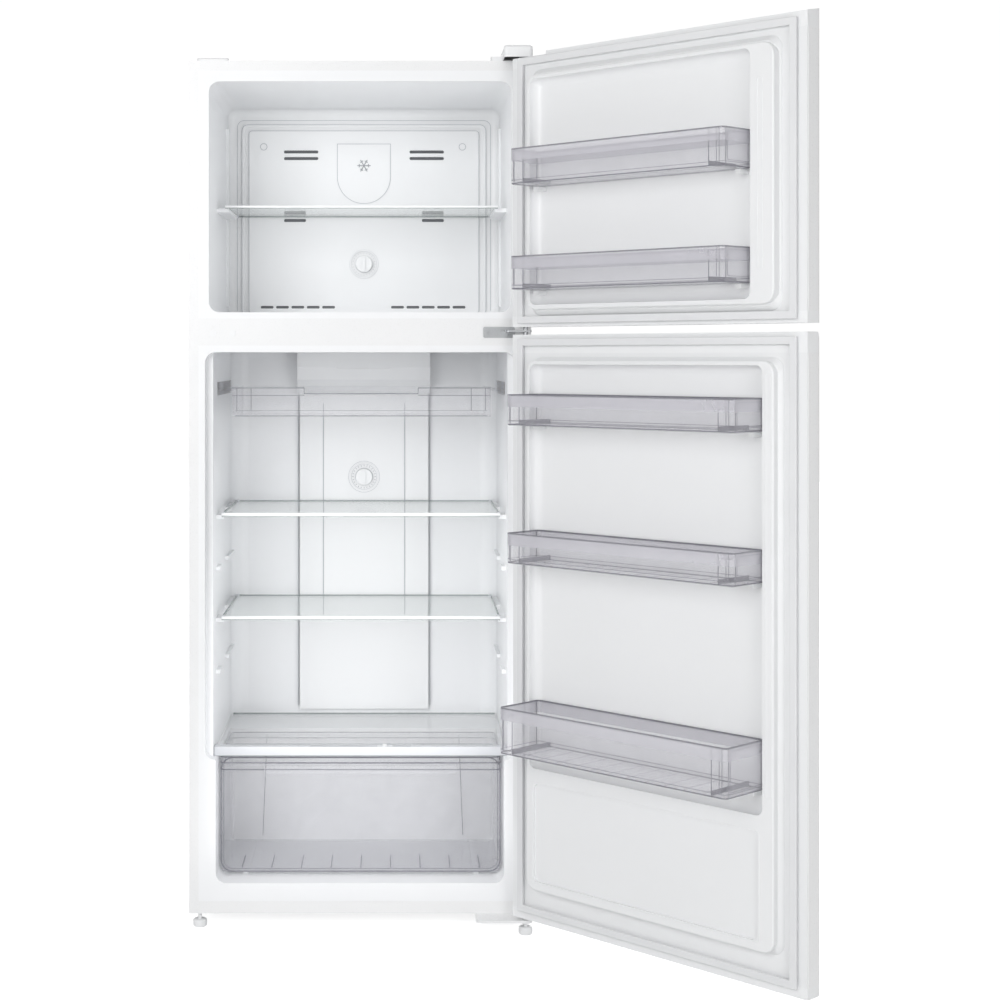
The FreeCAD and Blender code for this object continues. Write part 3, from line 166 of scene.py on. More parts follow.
# %% Floor
floor_mesh = bpy.data.meshes.new("studio_floor")
sheet_build = bmesh.new()
bmesh.ops.create_circle(sheet_build, cap_ends=True, segments=64, radius=14)
sheet_build.to_mesh(floor_mesh)
sheet_build.free()
floor = bpy.data.objects.new("studio_floor", floor_mesh)
scene.collection.objects.link(floor)
paper = bpy.data.materials.new("matt_white_floor_paint")
paper.use_nodes = True
paper.node_tree.nodes.clear()
place = add(paper.node_tree, "ShaderNodeTexCoord")
speckle = add(paper.node_tree, "ShaderNodeTexNoise", {"Vector": place.outputs["Object"], "Scale": 60.0})
rough = add(paper.node_tree, "ShaderNodeMapRange", {"Value": speckle.outputs["Fac"], "To Min": 0.6, "To Max": 0.75})
ray = add(paper.node_tree, "ShaderNodeLightPath")
lift = add(paper.node_tree, "ShaderNodeMapRange", {
    "Value": ray.outputs["Is Camera Ray"], "To Min": 0.0, "To Max": 0.8})
matt = add(paper.node_tree, "ShaderNodeBsdfPrincipled", {
    "Base Color": linear("#F6F6F6"), "Roughness": rough.outputs["Result"],
    "Emission Color": (1, 1, 1, 1), "Emission Strength": lift.outputs["Result"]})
add(paper.node_tree, "ShaderNodeOutputMaterial", {"Surface": matt.outputs["BSDF"]})
floor.data.materials.append(paper)

# %% [markdown]
# ## Finishes
# A factory finish is never one flat value. Paint has an orange-peel skin, formed sheet has slow waves where it
# stretched, and moulded plastic has a fine grain from its tool. One function makes the common part of them all: a
# slow drift of colour, a drift of gloss, and a bump at the grain's own size. Each special finish then adds to it.

# %% The common finish
finishes = {}


def finish(name, colour, drift_colour, drift_mm, grain_mm, bump_mm, gloss, **extra):
    """A procedural finish on object coordinates. gloss is the lowest and highest roughness."""
    material = bpy.data.materials.new(name)
    material.use_nodes = True
    tree = material.node_tree
    tree.nodes.clear()
    spot = add(tree, "ShaderNodeTexCoord").outputs["Object"]
    drift = add(tree, "ShaderNodeTexNoise", {"Vector": spot, "Scale": 1000 / drift_mm, "Detail": 3.0})
    tint = add(tree, "ShaderNodeMix", {
        "Factor": drift.outputs["Fac"], "A": linear(colour), "B": linear(drift_colour)}, data_type="RGBA")
    grain = add(tree, "ShaderNodeTexNoise", {"Vector": spot, "Scale": 1000 / grain_mm, "Detail": 2.0})
    sheen = add(tree, "ShaderNodeMapRange", {
        "Value": grain.outputs["Fac"], "From Min": 0.3, "From Max": 0.7, "To Min": gloss[0], "To Max": gloss[1]})
    bump = add(tree, "ShaderNodeBump", {
        "Height": grain.outputs["Fac"], "Distance": bump_mm * MM, "Strength": 0.6})
    shader = add(tree, "ShaderNodeBsdfPrincipled", {
        "Base Color": tint.outputs["Result"], "Roughness": sheen.outputs["Result"],
        "Normal": bump.outputs["Normal"], **extra})
    add(tree, "ShaderNodeOutputMaterial", {"Surface": shader.outputs["BSDF"]})
    finishes[name] = material
    return tree, spot, shader, tint, bump


def relink(tree, output, shader, socket):
    """Feeds one socket of a finish from a new pattern."""
    tree.links.new(output, shader.inputs[socket])


# %% [markdown]
# **Painted sheet steel.** The shell and the door skins are cold-rolled steel with a baked polyester powder coat. The
# eye sees a clean white with a soft gloss, broken by an orange peel about two millimetres across.

# %% Powder coated steel
finish("polyester_powder_coated_steel", "#F1F2F3", "#F4F4F4", 260, 2.2, 0.05, (0.26, 0.36))

# %% [markdown]
# **Formed liners.** The inner walls are high-impact polystyrene sheet, drawn over a mould by vacuum. The sheet thins
# where it stretches, which shows as slow waves in the gloss and a slight drift in the white.

# %% Vacuum formed polystyrene
for name, colour, drift_colour in (("vacuum_formed_polystyrene_liner", "#F5F6F8", "#F7F8F9"),
                                   ("vacuum_formed_polystyrene_door_liner", "#EEEFF0", "#F1F2F3")):
    tree, spot, shader, tint, bump = finish(name, colour, drift_colour, 320, 1.4, 0.03, (0.3, 0.42))
    waves = add(tree, "ShaderNodeTexNoise", {"Vector": spot, "Scale": 9.0, "Detail": 1.0})
    stretch = add(tree, "ShaderNodeBump", {
        "Height": waves.outputs["Fac"], "Distance": 1.2 * MM, "Strength": 0.35, "Normal": bump.outputs["Normal"]})
    relink(tree, stretch.outputs["Normal"], shader, "Normal")

# %% [markdown]
# **Moulded covers.** The air covers, caps, knobs and trims are ABS, moulded in a spark-eroded tool. The tool leaves an
# even fine grain, so the gloss is a little lower than the liner's.

# %% Moulded ABS, white and pale grey
finish("injection_moulded_white_abs", "#F4F5F6", "#F2F3F4", 180, 0.9, 0.04, (0.34, 0.46))
finish("injection_moulded_pale_grey_polypropylene", "#D4D6DA", "#CDD0D4", 160, 0.9, 0.04, (0.36, 0.5))
finish("injection_moulded_lid_trim_polystyrene", "#D3D5D9", "#CED0D4", 150, 0.9, 0.03, (0.3, 0.42))
# Grey for fine lines: partly moulding seams, partly painted shade along raised edges.
finish("seam_and_painted_shade_grey", "#BDC0C5", "#C5C8CC", 60, 0.9, 0.02, (0.45, 0.55))
finish("moulded_grey_print_ink", "#9A9DA2", "#A6A9AD", 40, 0.6, 0.01, (0.45, 0.55))

# %% [markdown]
# **Clear polystyrene.** Bins, tray and drawer are crystal polystyrene. It isn't colourless: a thick edge looks pale
# grey with a touch of violet, and the melt leaves faint flow lines. The wall is thin, so a part-transparent surface
# shows it better than true refraction would, and it keeps the light inside the cabinet. Seen at a slant, more of the
# wall lies in the way, so the surface closes up.

# %% Clear and frosted polystyrene


def make_see_through(tree, spot, shader, face_on, slanted, flow_mm):
    """Opens a finish: its cover grows from face_on to slanted, with faint flow lines of the melt."""
    slant = add(tree, "ShaderNodeLayerWeight", {"Blend": 0.45})
    flow = add(tree, "ShaderNodeTexNoise", {"Vector": spot, "Scale": 1000 / flow_mm, "Detail": 2.0, "Distortion": 1.5})
    cover = add(tree, "ShaderNodeMapRange", {
        "Value": slant.outputs["Facing"], "To Min": face_on, "To Max": slanted})
    streak = add(tree, "ShaderNodeMapRange", {"Value": flow.outputs["Fac"], "To Min": -0.03, "To Max": 0.03})
    total = add(tree, "ShaderNodeMath", {0: cover.outputs["Result"], 1: streak.outputs["Result"]},
                operation="ADD", use_clamp=True)
    relink(tree, total.outputs["Value"], shader, "Alpha")


CLEAR = (
    ("clear_moulded_polystyrene_bin", "#E6E5EB", "#DEDDE4", 0.06, 0.42, 70, (0.06, 0.14)),
    ("frosted_moulded_polystyrene_band", "#E2E1E7", "#DCDBE1", 0.26, 0.62, 50, (0.35, 0.5)),
    ("clear_moulded_polystyrene_drawer", "#E0E0E5", "#D8D8DE", 0.06, 0.48, 90, (0.06, 0.14)),
    ("polystyrene_moulding_edge", "#909098", "#82828B", 0.62, 0.95, 30, (0.1, 0.2)),
    ("clear_polystyrene_lid_sheet", "#F4F5F6", "#EFF0F2", 0.05, 0.32, 200, (0.1, 0.2)),
    ("tempered_float_glass_shelf", "#EAF0EF", "#E3EAE8", 0.05, 0.4, 400, (0.03, 0.06)),
    ("cut_glass_edge", "#8C9896", "#7D8A88", 0.7, 0.95, 60, (0.08, 0.16)),
)
for name, colour, drift_colour, face_on, slanted, flow_mm, gloss in CLEAR:
    tree, spot, shader = finish(name, colour, drift_colour, 120, 1.2, 0.02, gloss)[:3]
    make_see_through(tree, spot, shader, face_on, slanted, flow_mm)
print("see-through finishes:", ", ".join(row[0] for row in CLEAR))

# %% [markdown]
# **Metals, rubber and foam.** The hinges are zinc plated, the rear sheet is hot-dip galvanised and shows the flakes of
# its zinc crystals, the tubes are drawn copper, and the compressor is black enamel. The seal is soft extruded PVC.

# %% Metals
tree, spot, shader, tint = finish(
    "hot_dip_galvanised_steel", "#B4B9BC", "#C6CACC", 220, 1.5, 0.03, (0.32, 0.44), Metallic=1.0)[:4]
flakes = add(tree, "ShaderNodeTexVoronoi", {"Vector": spot, "Scale": 1000 / 14, "Randomness": 1.0})
flake_tone = add(tree, "ShaderNodeHueSaturation", {"Color": flakes.outputs["Color"], "Saturation": 0.0})
spangle = add(tree, "ShaderNodeMix", {
    "Factor": 0.16, "A": tint.outputs["Result"], "B": flake_tone.outputs["Color"]}, data_type="RGBA")
relink(tree, spangle.outputs["Result"], shader, "Base Color")
finish("bright_zinc_plated_steel", "#B9BBBD", "#A9ABAE", 30, 0.8, 0.02, (0.26, 0.42), Metallic=1.0)
finish("drawn_copper_tube", "#B87A5A", "#8F5B42", 35, 1.0, 0.02, (0.28, 0.42), Metallic=1.0)
finish("rolled_aluminium_fin_stock", "#C9CCCE", "#BFC2C5", 40, 0.8, 0.02, (0.3, 0.4), Metallic=1.0)

# %% Enamel, rubber, vinyl and foam
finish("black_stove_enamel", "#17181A", "#202124", 60, 1.6, 0.04, (0.22, 0.34), **{"Coat Weight": 0.3})
finish("moulded_nitrile_rubber", "#1B1B1C", "#262627", 25, 0.9, 0.06, (0.62, 0.78))
finish("moulded_black_polyamide", "#1E1F21", "#26272A", 45, 0.8, 0.05, (0.42, 0.56))
# Dark grey for the louvres and the plates behind the air slots: partly the louvres' own grey, partly painted shade for
# the shade inside the slots.
finish("louvre_grey_and_painted_slot_shade", "#6E7175", "#7A7D81", 45, 0.8, 0.05, (0.5, 0.6))
finish("extruded_soft_pvc_seal", "#E9EAEB", "#E3E4E6", 90, 0.7, 0.03, (0.42, 0.56))
tree, spot, shader = finish("rigid_polyurethane_foam", "#E3D5A8", "#D6C38C", 40, 2.0, 0.3, (0.8, 0.95))[:3]
cells = add(tree, "ShaderNodeTexVoronoi", {"Vector": spot, "Scale": 1000 / 3})
pores = add(tree, "ShaderNodeBump", {"Height": cells.outputs["Distance"], "Distance": 0.5 * MM, "Strength": 0.8})
relink(tree, pores.outputs["Normal"], shader, "Normal")
print(len(finishes), "finishes")

# %% [markdown]
# ## Finishes on the measured parts
# Most parts keep their measured shape and only take a finish by their material slot. A few take a different one from
# the rest of their slot, such as the deep drawer, whose walls look a little darker than the bins'.

# %% Dress the parts
SLOT_FINISH = {
    "white_steel": "polyester_powder_coated_steel",
    "galvanised_steel": "hot_dip_galvanised_steel",
    "zinc_plate": "bright_zinc_plated_steel",
    "pu_foam": "rigid_polyurethane_foam",
    "white_liner": "vacuum_formed_polystyrene_liner",
    "white_plastic": "injection_moulded_white_abs",
    "grey_plastic": "injection_moulded_pale_grey_polypropylene",
    "clear_plastic": "clear_moulded_polystyrene_bin",
    "shelf_glass": "tempered_float_glass_shelf",
    "gasket_vinyl": "extruded_soft_pvc_seal",
    "black_enamel": "black_stove_enamel",
    "black_rubber": "moulded_nitrile_rubber",
    "aluminium_fins": "rolled_aluminium_fin_stock",
    "copper_tube": "drawn_copper_tube",
    "black_plastic": "moulded_black_polyamide",
}
NODE_FINISH = {
    "crisper_drawer": "clear_moulded_polystyrene_drawer",
    "crisper_cover": "clear_polystyrene_lid_sheet",
    "bottom_hinge": "polyester_powder_coated_steel",
    "lamp_housing": "injection_moulded_white_abs",
    "freezer_shelf": "tempered_float_glass_shelf",
    "lamp_lens": "injection_moulded_white_abs",
    "freezer_door_liner": "vacuum_formed_polystyrene_door_liner",
    "fridge_door_liner": "vacuum_formed_polystyrene_door_liner",
}
for name, part in nodes.items():
    for slot_index, old in enumerate(part.data.materials):
        slot_name = old.name.split(".")[0]
        chosen = NODE_FINISH.get(name, SLOT_FINISH[slot_name])
        part.data.materials[slot_index] = finishes[chosen]
print("dressed", len(nodes), "parts")

# %% [markdown]
# ## Helpers for small shapes
# The details are built as meshes at their true place. A swept profile makes seals, coves and rims: a closed outline
# runs round a rectangle, with round or mitred corners. Boxes get a tiny bevel, because no moulded edge is perfectly
# sharp and the bevel catches the light.

# %% Mesh helpers


def box_into(build, low, high, bevel=0.6):
    """A box between two corners in millimetres, with softened edges."""
    low, high = Vector(low) * MM, Vector(high) * MM
    middle, size = (low + high) / 2, high - low
    fit = Matrix.Translation(middle) @ Matrix.Diagonal((*size, 1))
    made = bmesh.ops.create_cube(build, size=1, matrix=fit)
    if bevel:
        edges = list(dict.fromkeys(edge for corner in made["verts"] for edge in corner.link_edges))
        bmesh.ops.bevel(build, geom=edges, offset=bevel * MM, segments=2, profile=0.5, affect="EDGES")


def rod_into(build, start, end, radius, sides=20, end_radius=None):
    """A round bar or cone between two points in millimetres."""
    start, end = Vector(start) * MM, Vector(end) * MM
    way = end - start
    turn = way.to_track_quat("Z", "Y").to_matrix().to_4x4()
    fit = Matrix.Translation((start + end) / 2) @ turn
    bmesh.ops.create_cone(build, cap_ends=True, segments=sides, radius1=radius * MM,
                          radius2=(radius if end_radius is None else end_radius) * MM,
                          depth=way.length, matrix=fit)


def rectangle_loop(left, right, low, high, radius=0, steps=6):
    """Points round a rectangle, each with its inward direction. Radius 0 gives mitred corners."""
    spots = []
    corners = ((right, high, -1, -1, 0), (left, high, 1, -1, 90), (left, low, 1, 1, 180), (right, low, -1, 1, 270))
    for across, up, inward_x, inward_y, start in corners:
        if not radius:
            spots.append((across, up, inward_x, inward_y))
            continue
        for step in range(steps + 1):
            turn = math.radians(start + 90 * step / steps)
            out_x, out_y = math.cos(turn), math.sin(turn)
            spots.append((across + inward_x * radius + out_x * radius,
                          up + inward_y * radius + out_y * radius, -out_x, -out_y))
    return spots


def circle_loop(across, up, radius, steps=48):
    """Points round a circle, each with its inward direction."""
    turns = [2 * math.pi * step / steps for step in range(steps)]
    return [(across + radius * math.cos(turn), up + radius * math.sin(turn), -math.cos(turn), -math.sin(turn))
            for turn in turns]


def sweep_into(build, loop, profile, put, closed=True):
    """Sweeps a closed (inward, out) profile round a loop. put turns (across, up, out) into x, y, z."""
    rings = [[build.verts.new(Vector(put(u + du * inward, v + dv * inward, out)) * MM)
              for inward, out in profile] for u, v, du, dv in loop]
    count = len(profile)
    following = rings[1:] + rings[:1] if closed else rings[1:]
    for ring, other in zip(rings, following):
        for i in range(count):
            j = (i + 1) % count
            build.faces.new((ring[i], ring[j], other[j], other[i]))
    if not closed:
        build.faces.new(rings[0])
        build.faces.new(list(reversed(rings[-1])))


def settle(name, build, finish_name, body, turned=None, angle=35):
    """Turns a build into a finished piece that rides on its body."""
    if turned is not None:
        bmesh.ops.transform(build, matrix=turned, verts=build.verts)
    bmesh.ops.recalc_face_normals(build, faces=build.faces)
    mesh = bpy.data.meshes.new(name)
    build.to_mesh(mesh)
    build.free()
    mesh.materials.append(finishes[finish_name])
    mesh.shade_smooth()
    mesh.set_sharp_from_angle(angle=math.radians(angle))
    piece = bpy.data.objects.new(name, mesh)
    scene.collection.objects.link(piece)
    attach(piece, body)
    return piece


# %% [markdown]
# ## Helpers for Geometry Nodes
# Ribs, wires, slats and screws repeat in rows or rings. Each tree takes its sizes by name, ends with real geometry and
# its own material, and is turned into a plain mesh before it joins its body.

# %% Geometry tree helpers
SOCKETS = {"count": "NodeSocketInt", "vector": "NodeSocketVector", "length": "NodeSocketFloat"}


def new_tree(name, wanted):
    """A geometry tree with the wanted inputs, by label and kind, and a material."""
    tree = bpy.data.node_groups.new(name, "GeometryNodeTree")
    tree.interface.new_socket("Geometry", in_out="INPUT", socket_type="NodeSocketGeometry")
    for label, kind in wanted:
        tree.interface.new_socket(label, in_out="INPUT", socket_type=SOCKETS[kind])
    tree.interface.new_socket("Finish", in_out="INPUT", socket_type="NodeSocketMaterial")
    tree.interface.new_socket("Geometry", in_out="OUTPUT", socket_type="NodeSocketGeometry")
    return tree, add(tree, "NodeGroupInput").outputs


def close_tree(tree, given, geometry):
    """Ends a tree: instances made real, then the material."""
    real = add(tree, "GeometryNodeRealizeInstances", {"Geometry": geometry})
    dressed = add(tree, "GeometryNodeSetMaterial", {
        "Geometry": real.outputs["Geometry"], "Material": given["Finish"]})
    add(tree, "NodeGroupOutput", {"Geometry": dressed.outputs["Geometry"]})


def grow(name, tree, values, finish_name, body, points=(), turned=None, smooth=False):
    """Runs a tree, keeps the result as a plain mesh and lets it ride on its body."""
    mesh = bpy.data.meshes.new(name)
    mesh.from_pydata([Vector(point) * MM for point in points], [], [])
    piece = bpy.data.objects.new(name, mesh)
    scene.collection.objects.link(piece)
    grower = piece.modifiers.new("grow", "NODES")
    grower.node_group = tree
    given = {**values, "Finish": finishes[finish_name]}
    for socket in tree.interface.items_tree:
        if socket.in_out == "INPUT" and socket.name in given:
            grower[socket.identifier] = given[socket.name]
    made = piece.evaluated_get(bpy.context.evaluated_depsgraph_get())
    real = bpy.data.meshes.new_from_object(made)
    piece.modifiers.clear()
    piece.data = real
    real.name = name
    if turned is not None:
        real.transform(turned)
    if smooth:
        real.shade_smooth()
        real.set_sharp_from_angle(angle=math.radians(40))
    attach(piece, body)
    print(name, "has", len(real.polygons), "faces")


# %% [markdown]
# Four trees serve the whole object: bars in a row, bars round a ring, round wires in a row, and cross-recess screws.

# %% Rows, rings, wires and screws
ROW, given = new_tree("bars_in_a_row", [
    ("Count", "count"), ("Start", "vector"), ("Step", "vector"), ("Size", "vector")])
line = add(ROW, "GeometryNodeMeshLine", {
    "Count": given["Count"], "Start Location": given["Start"], "Offset": given["Step"]}, mode="OFFSET")
bar = add(ROW, "GeometryNodeMeshCube", {"Size": given["Size"]})
row = add(ROW, "GeometryNodeInstanceOnPoints", {
    "Points": line.outputs["Mesh"], "Instance": bar.outputs["Mesh"]})
close_tree(ROW, given, row.outputs["Instances"])

RING, given = new_tree("bars_round_a_ring", [
    ("Count", "count"), ("Centre", "vector"), ("Radius", "length"), ("Size", "vector"), ("Turn", "vector")])
circle = add(RING, "GeometryNodeMeshCircle", {"Vertices": given["Count"], "Radius": given["Radius"]})
spoke = add(RING, "GeometryNodeInputPosition")
aim = add(RING, "FunctionNodeAlignRotationToVector", {"Vector": spoke.outputs["Position"]}, axis="X")
bar = add(RING, "GeometryNodeMeshCube", {"Size": given["Size"]})
ring = add(RING, "GeometryNodeInstanceOnPoints", {
    "Points": circle.outputs["Mesh"], "Instance": bar.outputs["Mesh"], "Rotation": aim.outputs["Rotation"]})
stood = add(RING, "GeometryNodeTransform", {
    "Geometry": ring.outputs["Instances"], "Translation": given["Centre"], "Rotation": given["Turn"]})
close_tree(RING, given, stood.outputs["Geometry"])

WIRES, given = new_tree("wires_in_a_row", [
    ("Count", "count"), ("Start", "vector"), ("Step", "vector"), ("Length", "length"), ("Radius", "length"),
    ("Turn", "vector")])
line = add(WIRES, "GeometryNodeMeshLine", {
    "Count": given["Count"], "Start Location": given["Start"], "Offset": given["Step"]}, mode="OFFSET")
wire = add(WIRES, "GeometryNodeMeshCylinder", {
    "Vertices": 8, "Radius": given["Radius"], "Depth": given["Length"]})
row = add(WIRES, "GeometryNodeInstanceOnPoints", {
    "Points": line.outputs["Mesh"], "Instance": wire.outputs["Mesh"], "Rotation": given["Turn"]})
close_tree(WIRES, given, row.outputs["Instances"])

SCREWS, given = new_tree("cross_recess_screws", [("Radius", "length"), ("Height", "length"), ("Turn", "vector")])
head = add(SCREWS, "GeometryNodeMeshCylinder", {
    "Vertices": 20, "Radius": given["Radius"], "Depth": given["Height"]})
half = add(SCREWS, "ShaderNodeMath", {0: given["Height"], 1: 0.5}, operation="MULTIPLY")
arm = add(SCREWS, "ShaderNodeMath", {0: given["Radius"], 1: 1.2}, operation="MULTIPLY")
slim = add(SCREWS, "ShaderNodeMath", {0: given["Radius"], 1: 0.28}, operation="MULTIPLY")
long_way = add(SCREWS, "ShaderNodeCombineXYZ", {
    "X": arm.outputs["Value"], "Y": slim.outputs["Value"], "Z": given["Height"]})
other_way = add(SCREWS, "ShaderNodeCombineXYZ", {
    "X": slim.outputs["Value"], "Y": arm.outputs["Value"], "Z": given["Height"]})
first_cut = add(SCREWS, "GeometryNodeMeshCube", {"Size": long_way.outputs["Vector"]})
second_cut = add(SCREWS, "GeometryNodeMeshCube", {"Size": other_way.outputs["Vector"]})
rise = add(SCREWS, "ShaderNodeCombineXYZ", {"Z": half.outputs["Value"]})
cross = add(SCREWS, "GeometryNodeJoinGeometry")
SCREWS.links.new(first_cut.outputs["Mesh"], cross.inputs["Geometry"])
SCREWS.links.new(second_cut.outputs["Mesh"], cross.inputs["Geometry"])
lifted = add(SCREWS, "GeometryNodeTransform", {
    "Geometry": cross.outputs["Geometry"], "Translation": rise.outputs["Vector"]})
cut = add(SCREWS, "GeometryNodeMeshBoolean", {
    "Mesh 1": head.outputs["Mesh"], "Mesh 2": lifted.outputs["Geometry"]}, operation="DIFFERENCE")
placed = add(SCREWS, "GeometryNodeInstanceOnPoints", {
    "Points": given["Geometry"], "Instance": cut.outputs["Mesh"], "Rotation": given["Turn"]})
close_tree(SCREWS, given, placed.outputs["Instances"])
FACE_FRONT = (math.radians(90), 0, 0)
FACE_BACK = (math.radians(-90), 0, 0)
FACE_UP = (0, 0, 0)


def millimetres(*sizes):
    return tuple(size * MM for size in sizes)


# %% [markdown]
# ## Door seals
# A refrigerator's seal is a soft extrusion: a foot that clips into a slot, a folded bellows, and a hollow bar on top
# that holds the magnet strip. The lengths are welded with mitred corners. One profile swept round each door shows the
# two fine shadow lines that a plain ring would miss.

# %% Seals
SEAL_LEFT, SEAL_RIGHT = -668, -6
SEAL_PROFILE = [(5.2, 0), (8.8, 0), (8.8, 1.8), (12.2, 2.8), (13.6, 3.9), (12.6, 4.9), (10.2, 5.3), (13.2, 6.1),
                (14, 7), (14, 9), (13.2, 9.9), (0.8, 9.9), (0, 9), (0, 7), (0.8, 6.1), (3.8, 5.3), (1.4, 4.9),
                (0.4, 3.9), (1.8, 2.8), (5.2, 1.8)]


def on_door_face(across, up, out):
    """A place on the shut door's inner face; out is away from the door."""
    return (across, DOOR_INNER + out, up)


for door, low, high in (("freezer_door", 1236, 1768), ("fridge_door", 56, 1205)):
    build = bmesh.new()
    sweep_into(build, rectangle_loop(SEAL_LEFT, SEAL_RIGHT, low, high), SEAL_PROFILE, on_door_face)
    seal = settle(f"{door}_seal", build, "extruded_soft_pvc_seal", door, DOOR_OPEN)
    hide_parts(f"{door}_gasket")
    print(seal.name, len(seal.data.polygons), "faces")

# %% [markdown]
# ## Door bins
# The bins are clear mouldings with a rolled rim, a frosted band behind it, upright ribs near each end and a ribbed
# floor. The measured bin stays. A clear wall shows what lies just inside its face, so the details are set there, and
# nothing stands outside the measured size.

# %% Bin details
BINS = {
    "freezer_bin_upper": ("freezer_door", -570, -57, 24, 111, 1506, 1577),
    "freezer_bin_lower": ("freezer_door", -570, -57, 24, 111, 1300, 1366),
    "fridge_bin_upper": ("fridge_door", -598, -56, 24, 121, 1034, 1095),
    "fridge_bin_middle": ("fridge_door", -598, -56, 24, 121, 764, 824),
    "fridge_bin_lower": ("fridge_door", -598, -56, 24, 141, 394, 485),
}
RIM = [(0.05, -2.2), (0.05, 0.3), (0.4, 0.6), (2.2, 0.6), (2.6, 0.3), (2.6, -2.2)]
BAND = [(0.1, -24), (0.1, -2.4), (0.4, -2.4), (0.4, -24)]
END_WALL_LINE = [(0, -0.9), (0, -0.1), (0.8, -0.1), (0.8, -0.9)]
FOOT_LINE = [(1.2, 0.2), (0.4, 1.2), (0.8, 2.4), (2.2, 2.4), (2.4, 0.4)]
for name, (door, left, right, near, far, low, high) in BINS.items():
    body = f"{name}_body"
    loop = rectangle_loop(left, right, near, far, 10, 5)
    for piece, profile, level, coat in (("rim", RIM, high, "polystyrene_moulding_edge"),
                                        ("band", BAND, high, "frosted_moulded_polystyrene_band"),
                                        ("foot_line", FOOT_LINE, low + 1.4, "polystyrene_moulding_edge")):
        build = bmesh.new()
        sweep_into(build, loop, profile, lambda across, along, out: (across, along, level + out))
        settle(f"{name}_{piece}", build, coat, body, DOOR_OPEN)
    build = bmesh.new()
    for across in (left + 34, right - 34):
        box_into(build, (across - 1, near + 3, low + 3), (across + 1, far - 3, low + 12), 0.4)
        box_into(build, (across - 0.9, far - 3.4, low + 4), (across + 0.9, far - 2.4, high - 3), 0.3)
    for across in (left + 2.4, right - 3.6):
        box_into(build, (across, near + 8, low + 4), (across + 1.2, near + 9.4, high - 3), 0.3)
        box_into(build, (across, far - 12, low + 4), (across + 1.2, far - 10.6, high - 3), 0.3)
    sweep_into(build, loop, [(0.1, low + 9), (0.1, low + 9.9), (0.7, low + 9.9), (0.7, low + 9)],
               lambda across, along, out: (across, along, out))
    for across in (left + 9, left + 15, right - 11):
        box_into(build, (across, far - 1, low + 10), (across + 1, far - 0.1, high - 2.4), 0.2)
    sweep_into(build, rectangle_loop(near + 6, far - 12, low + 12, high - 6, 5, 4), END_WALL_LINE,
               lambda along, up, out: (left - out, along, up))
    settle(f"{name}_ribs", build, "polystyrene_moulding_edge", body, DOOR_OPEN)
    grow(f"{name}_floor_ribs", ROW, {
        "Count": 11, "Start": millimetres(left + 56, (near + far) / 2, low + 3.2),
        "Step": millimetres((right - left - 112) / 10, 0, 0), "Size": millimetres(1.6, far - near - 16, 1.4)},
        "clear_moulded_polystyrene_bin", body, turned=DOOR_OPEN)

# %% [markdown]
# ## Shelf trims
# A glass shelf is a plate with a white moulded trim clipped over its front edge and a short clip at each rear corner.
# The trim hides the sharp edge and stops spills. The freezer's shelf has a slimmer one.

# %% Shelf trims and clips
SHELVES = {
    "upper_shelf": (291, 85, 452, 838, 6),
    "lower_shelf": (291, 85, 452, 622, 6),
    "freezer_shelf": (290, 152, 432, 1486, 5),
}
for name, (half_width, near, far, low, tall) in SHELVES.items():
    body = f"{name}_body"
    top = low + 4
    build = bmesh.new()
    box_into(build, (-half_width - 0.4, F + near - 0.5, top + 0.4 - tall),
             (half_width + 0.4, F + near + 9, top + 0.5), 1.2)
    settle(f"{name}_trim", build, "injection_moulded_white_abs", body)
    build = bmesh.new()
    box_into(build, (-half_width, F + near - 0.6, top - tall - 0.3),
             (half_width, F + near + 1.2, top + 0.9 - tall), 0.3)
    box_into(build, (-half_width + 3, F + far - 0.6, low + 0.2), (half_width - 3, F + far + 0.3, top - 0.2), 0.2)
    for side in (-1, 1):
        edge = side * half_width
        box_into(build, (min(edge, edge - side * 2.4), F + near + 6, low - 0.4),
                 (max(edge, edge - side * 2.4), F + far - 3, top + 0.4), 0.4)
    settle(f"{name}_edges", build, "cut_glass_edge", body)
    build = bmesh.new()
    for side in (-1, 1):
        edge = side * half_width
        box_into(build, (min(edge, edge - side * 7), F + far - 34, low - 1.2),
                 (max(edge, edge - side * 7), F + far - 6, top + 1.2), 0.8)
        box_into(build, (min(edge, edge - side * 5), F + near + 9, low - 1),
                 (max(edge, edge - side * 5), F + near + 26, top + 1), 0.6)
    settle(f"{name}_clips", build, "injection_moulded_pale_grey_polypropylene", body)
print("trims on", len(SHELVES), "shelves")

# %% [markdown]
# ## Soft corners inside the cabinet
# Vacuum forming can't make a sharp inner corner: the sheet bridges it in a cove. The coves shade from light to dark
# over some centimetres, which is most of what the eye reads inside a white cabinet.

# %% Coves


def cove(radius, steps=8):
    """A concave quarter against two walls, as (inward, out) points."""
    arc = [(radius - radius * math.cos(math.radians(turn)), radius - radius * math.sin(math.radians(turn)))
           for turn in (90 * step / steps for step in range(steps + 1))]
    return [(0, 0)] + arc


FREEZER_COVER = 440


def before_freezer_back(across, up, out):
    return (across, F + FREEZER_COVER - out, up)


build = bmesh.new()
sweep_into(build, rectangle_loop(-308.8, 308.8, 1260.2, 1731.8, 21.8, 8), cove(17), before_freezer_back)
settle("freezer_back_cove", build, "injection_moulded_white_abs", "cabinet", angle=50)
FRIDGE_HALF, FRIDGE_BACK, FRIDGE_COVE_ENDS = 302.8, 465.8, (345.5, 1178.2)
build = bmesh.new()
for side in (-1, 1):
    edge = side * FRIDGE_HALF
    ring_low, ring_high = [
        [(edge - side * inward, F + FRIDGE_BACK - out, up) for inward, out in cove(38)] for up in FRIDGE_COVE_ENDS]
    low_points = [build.verts.new(Vector(point) * MM) for point in ring_low]
    high_points = [build.verts.new(Vector(point) * MM) for point in ring_high]
    for i in range(len(low_points)):
        j = (i + 1) % len(low_points)
        build.faces.new((low_points[i], low_points[j], high_points[j], high_points[i]))
    build.faces.new(low_points)
    build.faces.new(high_points)
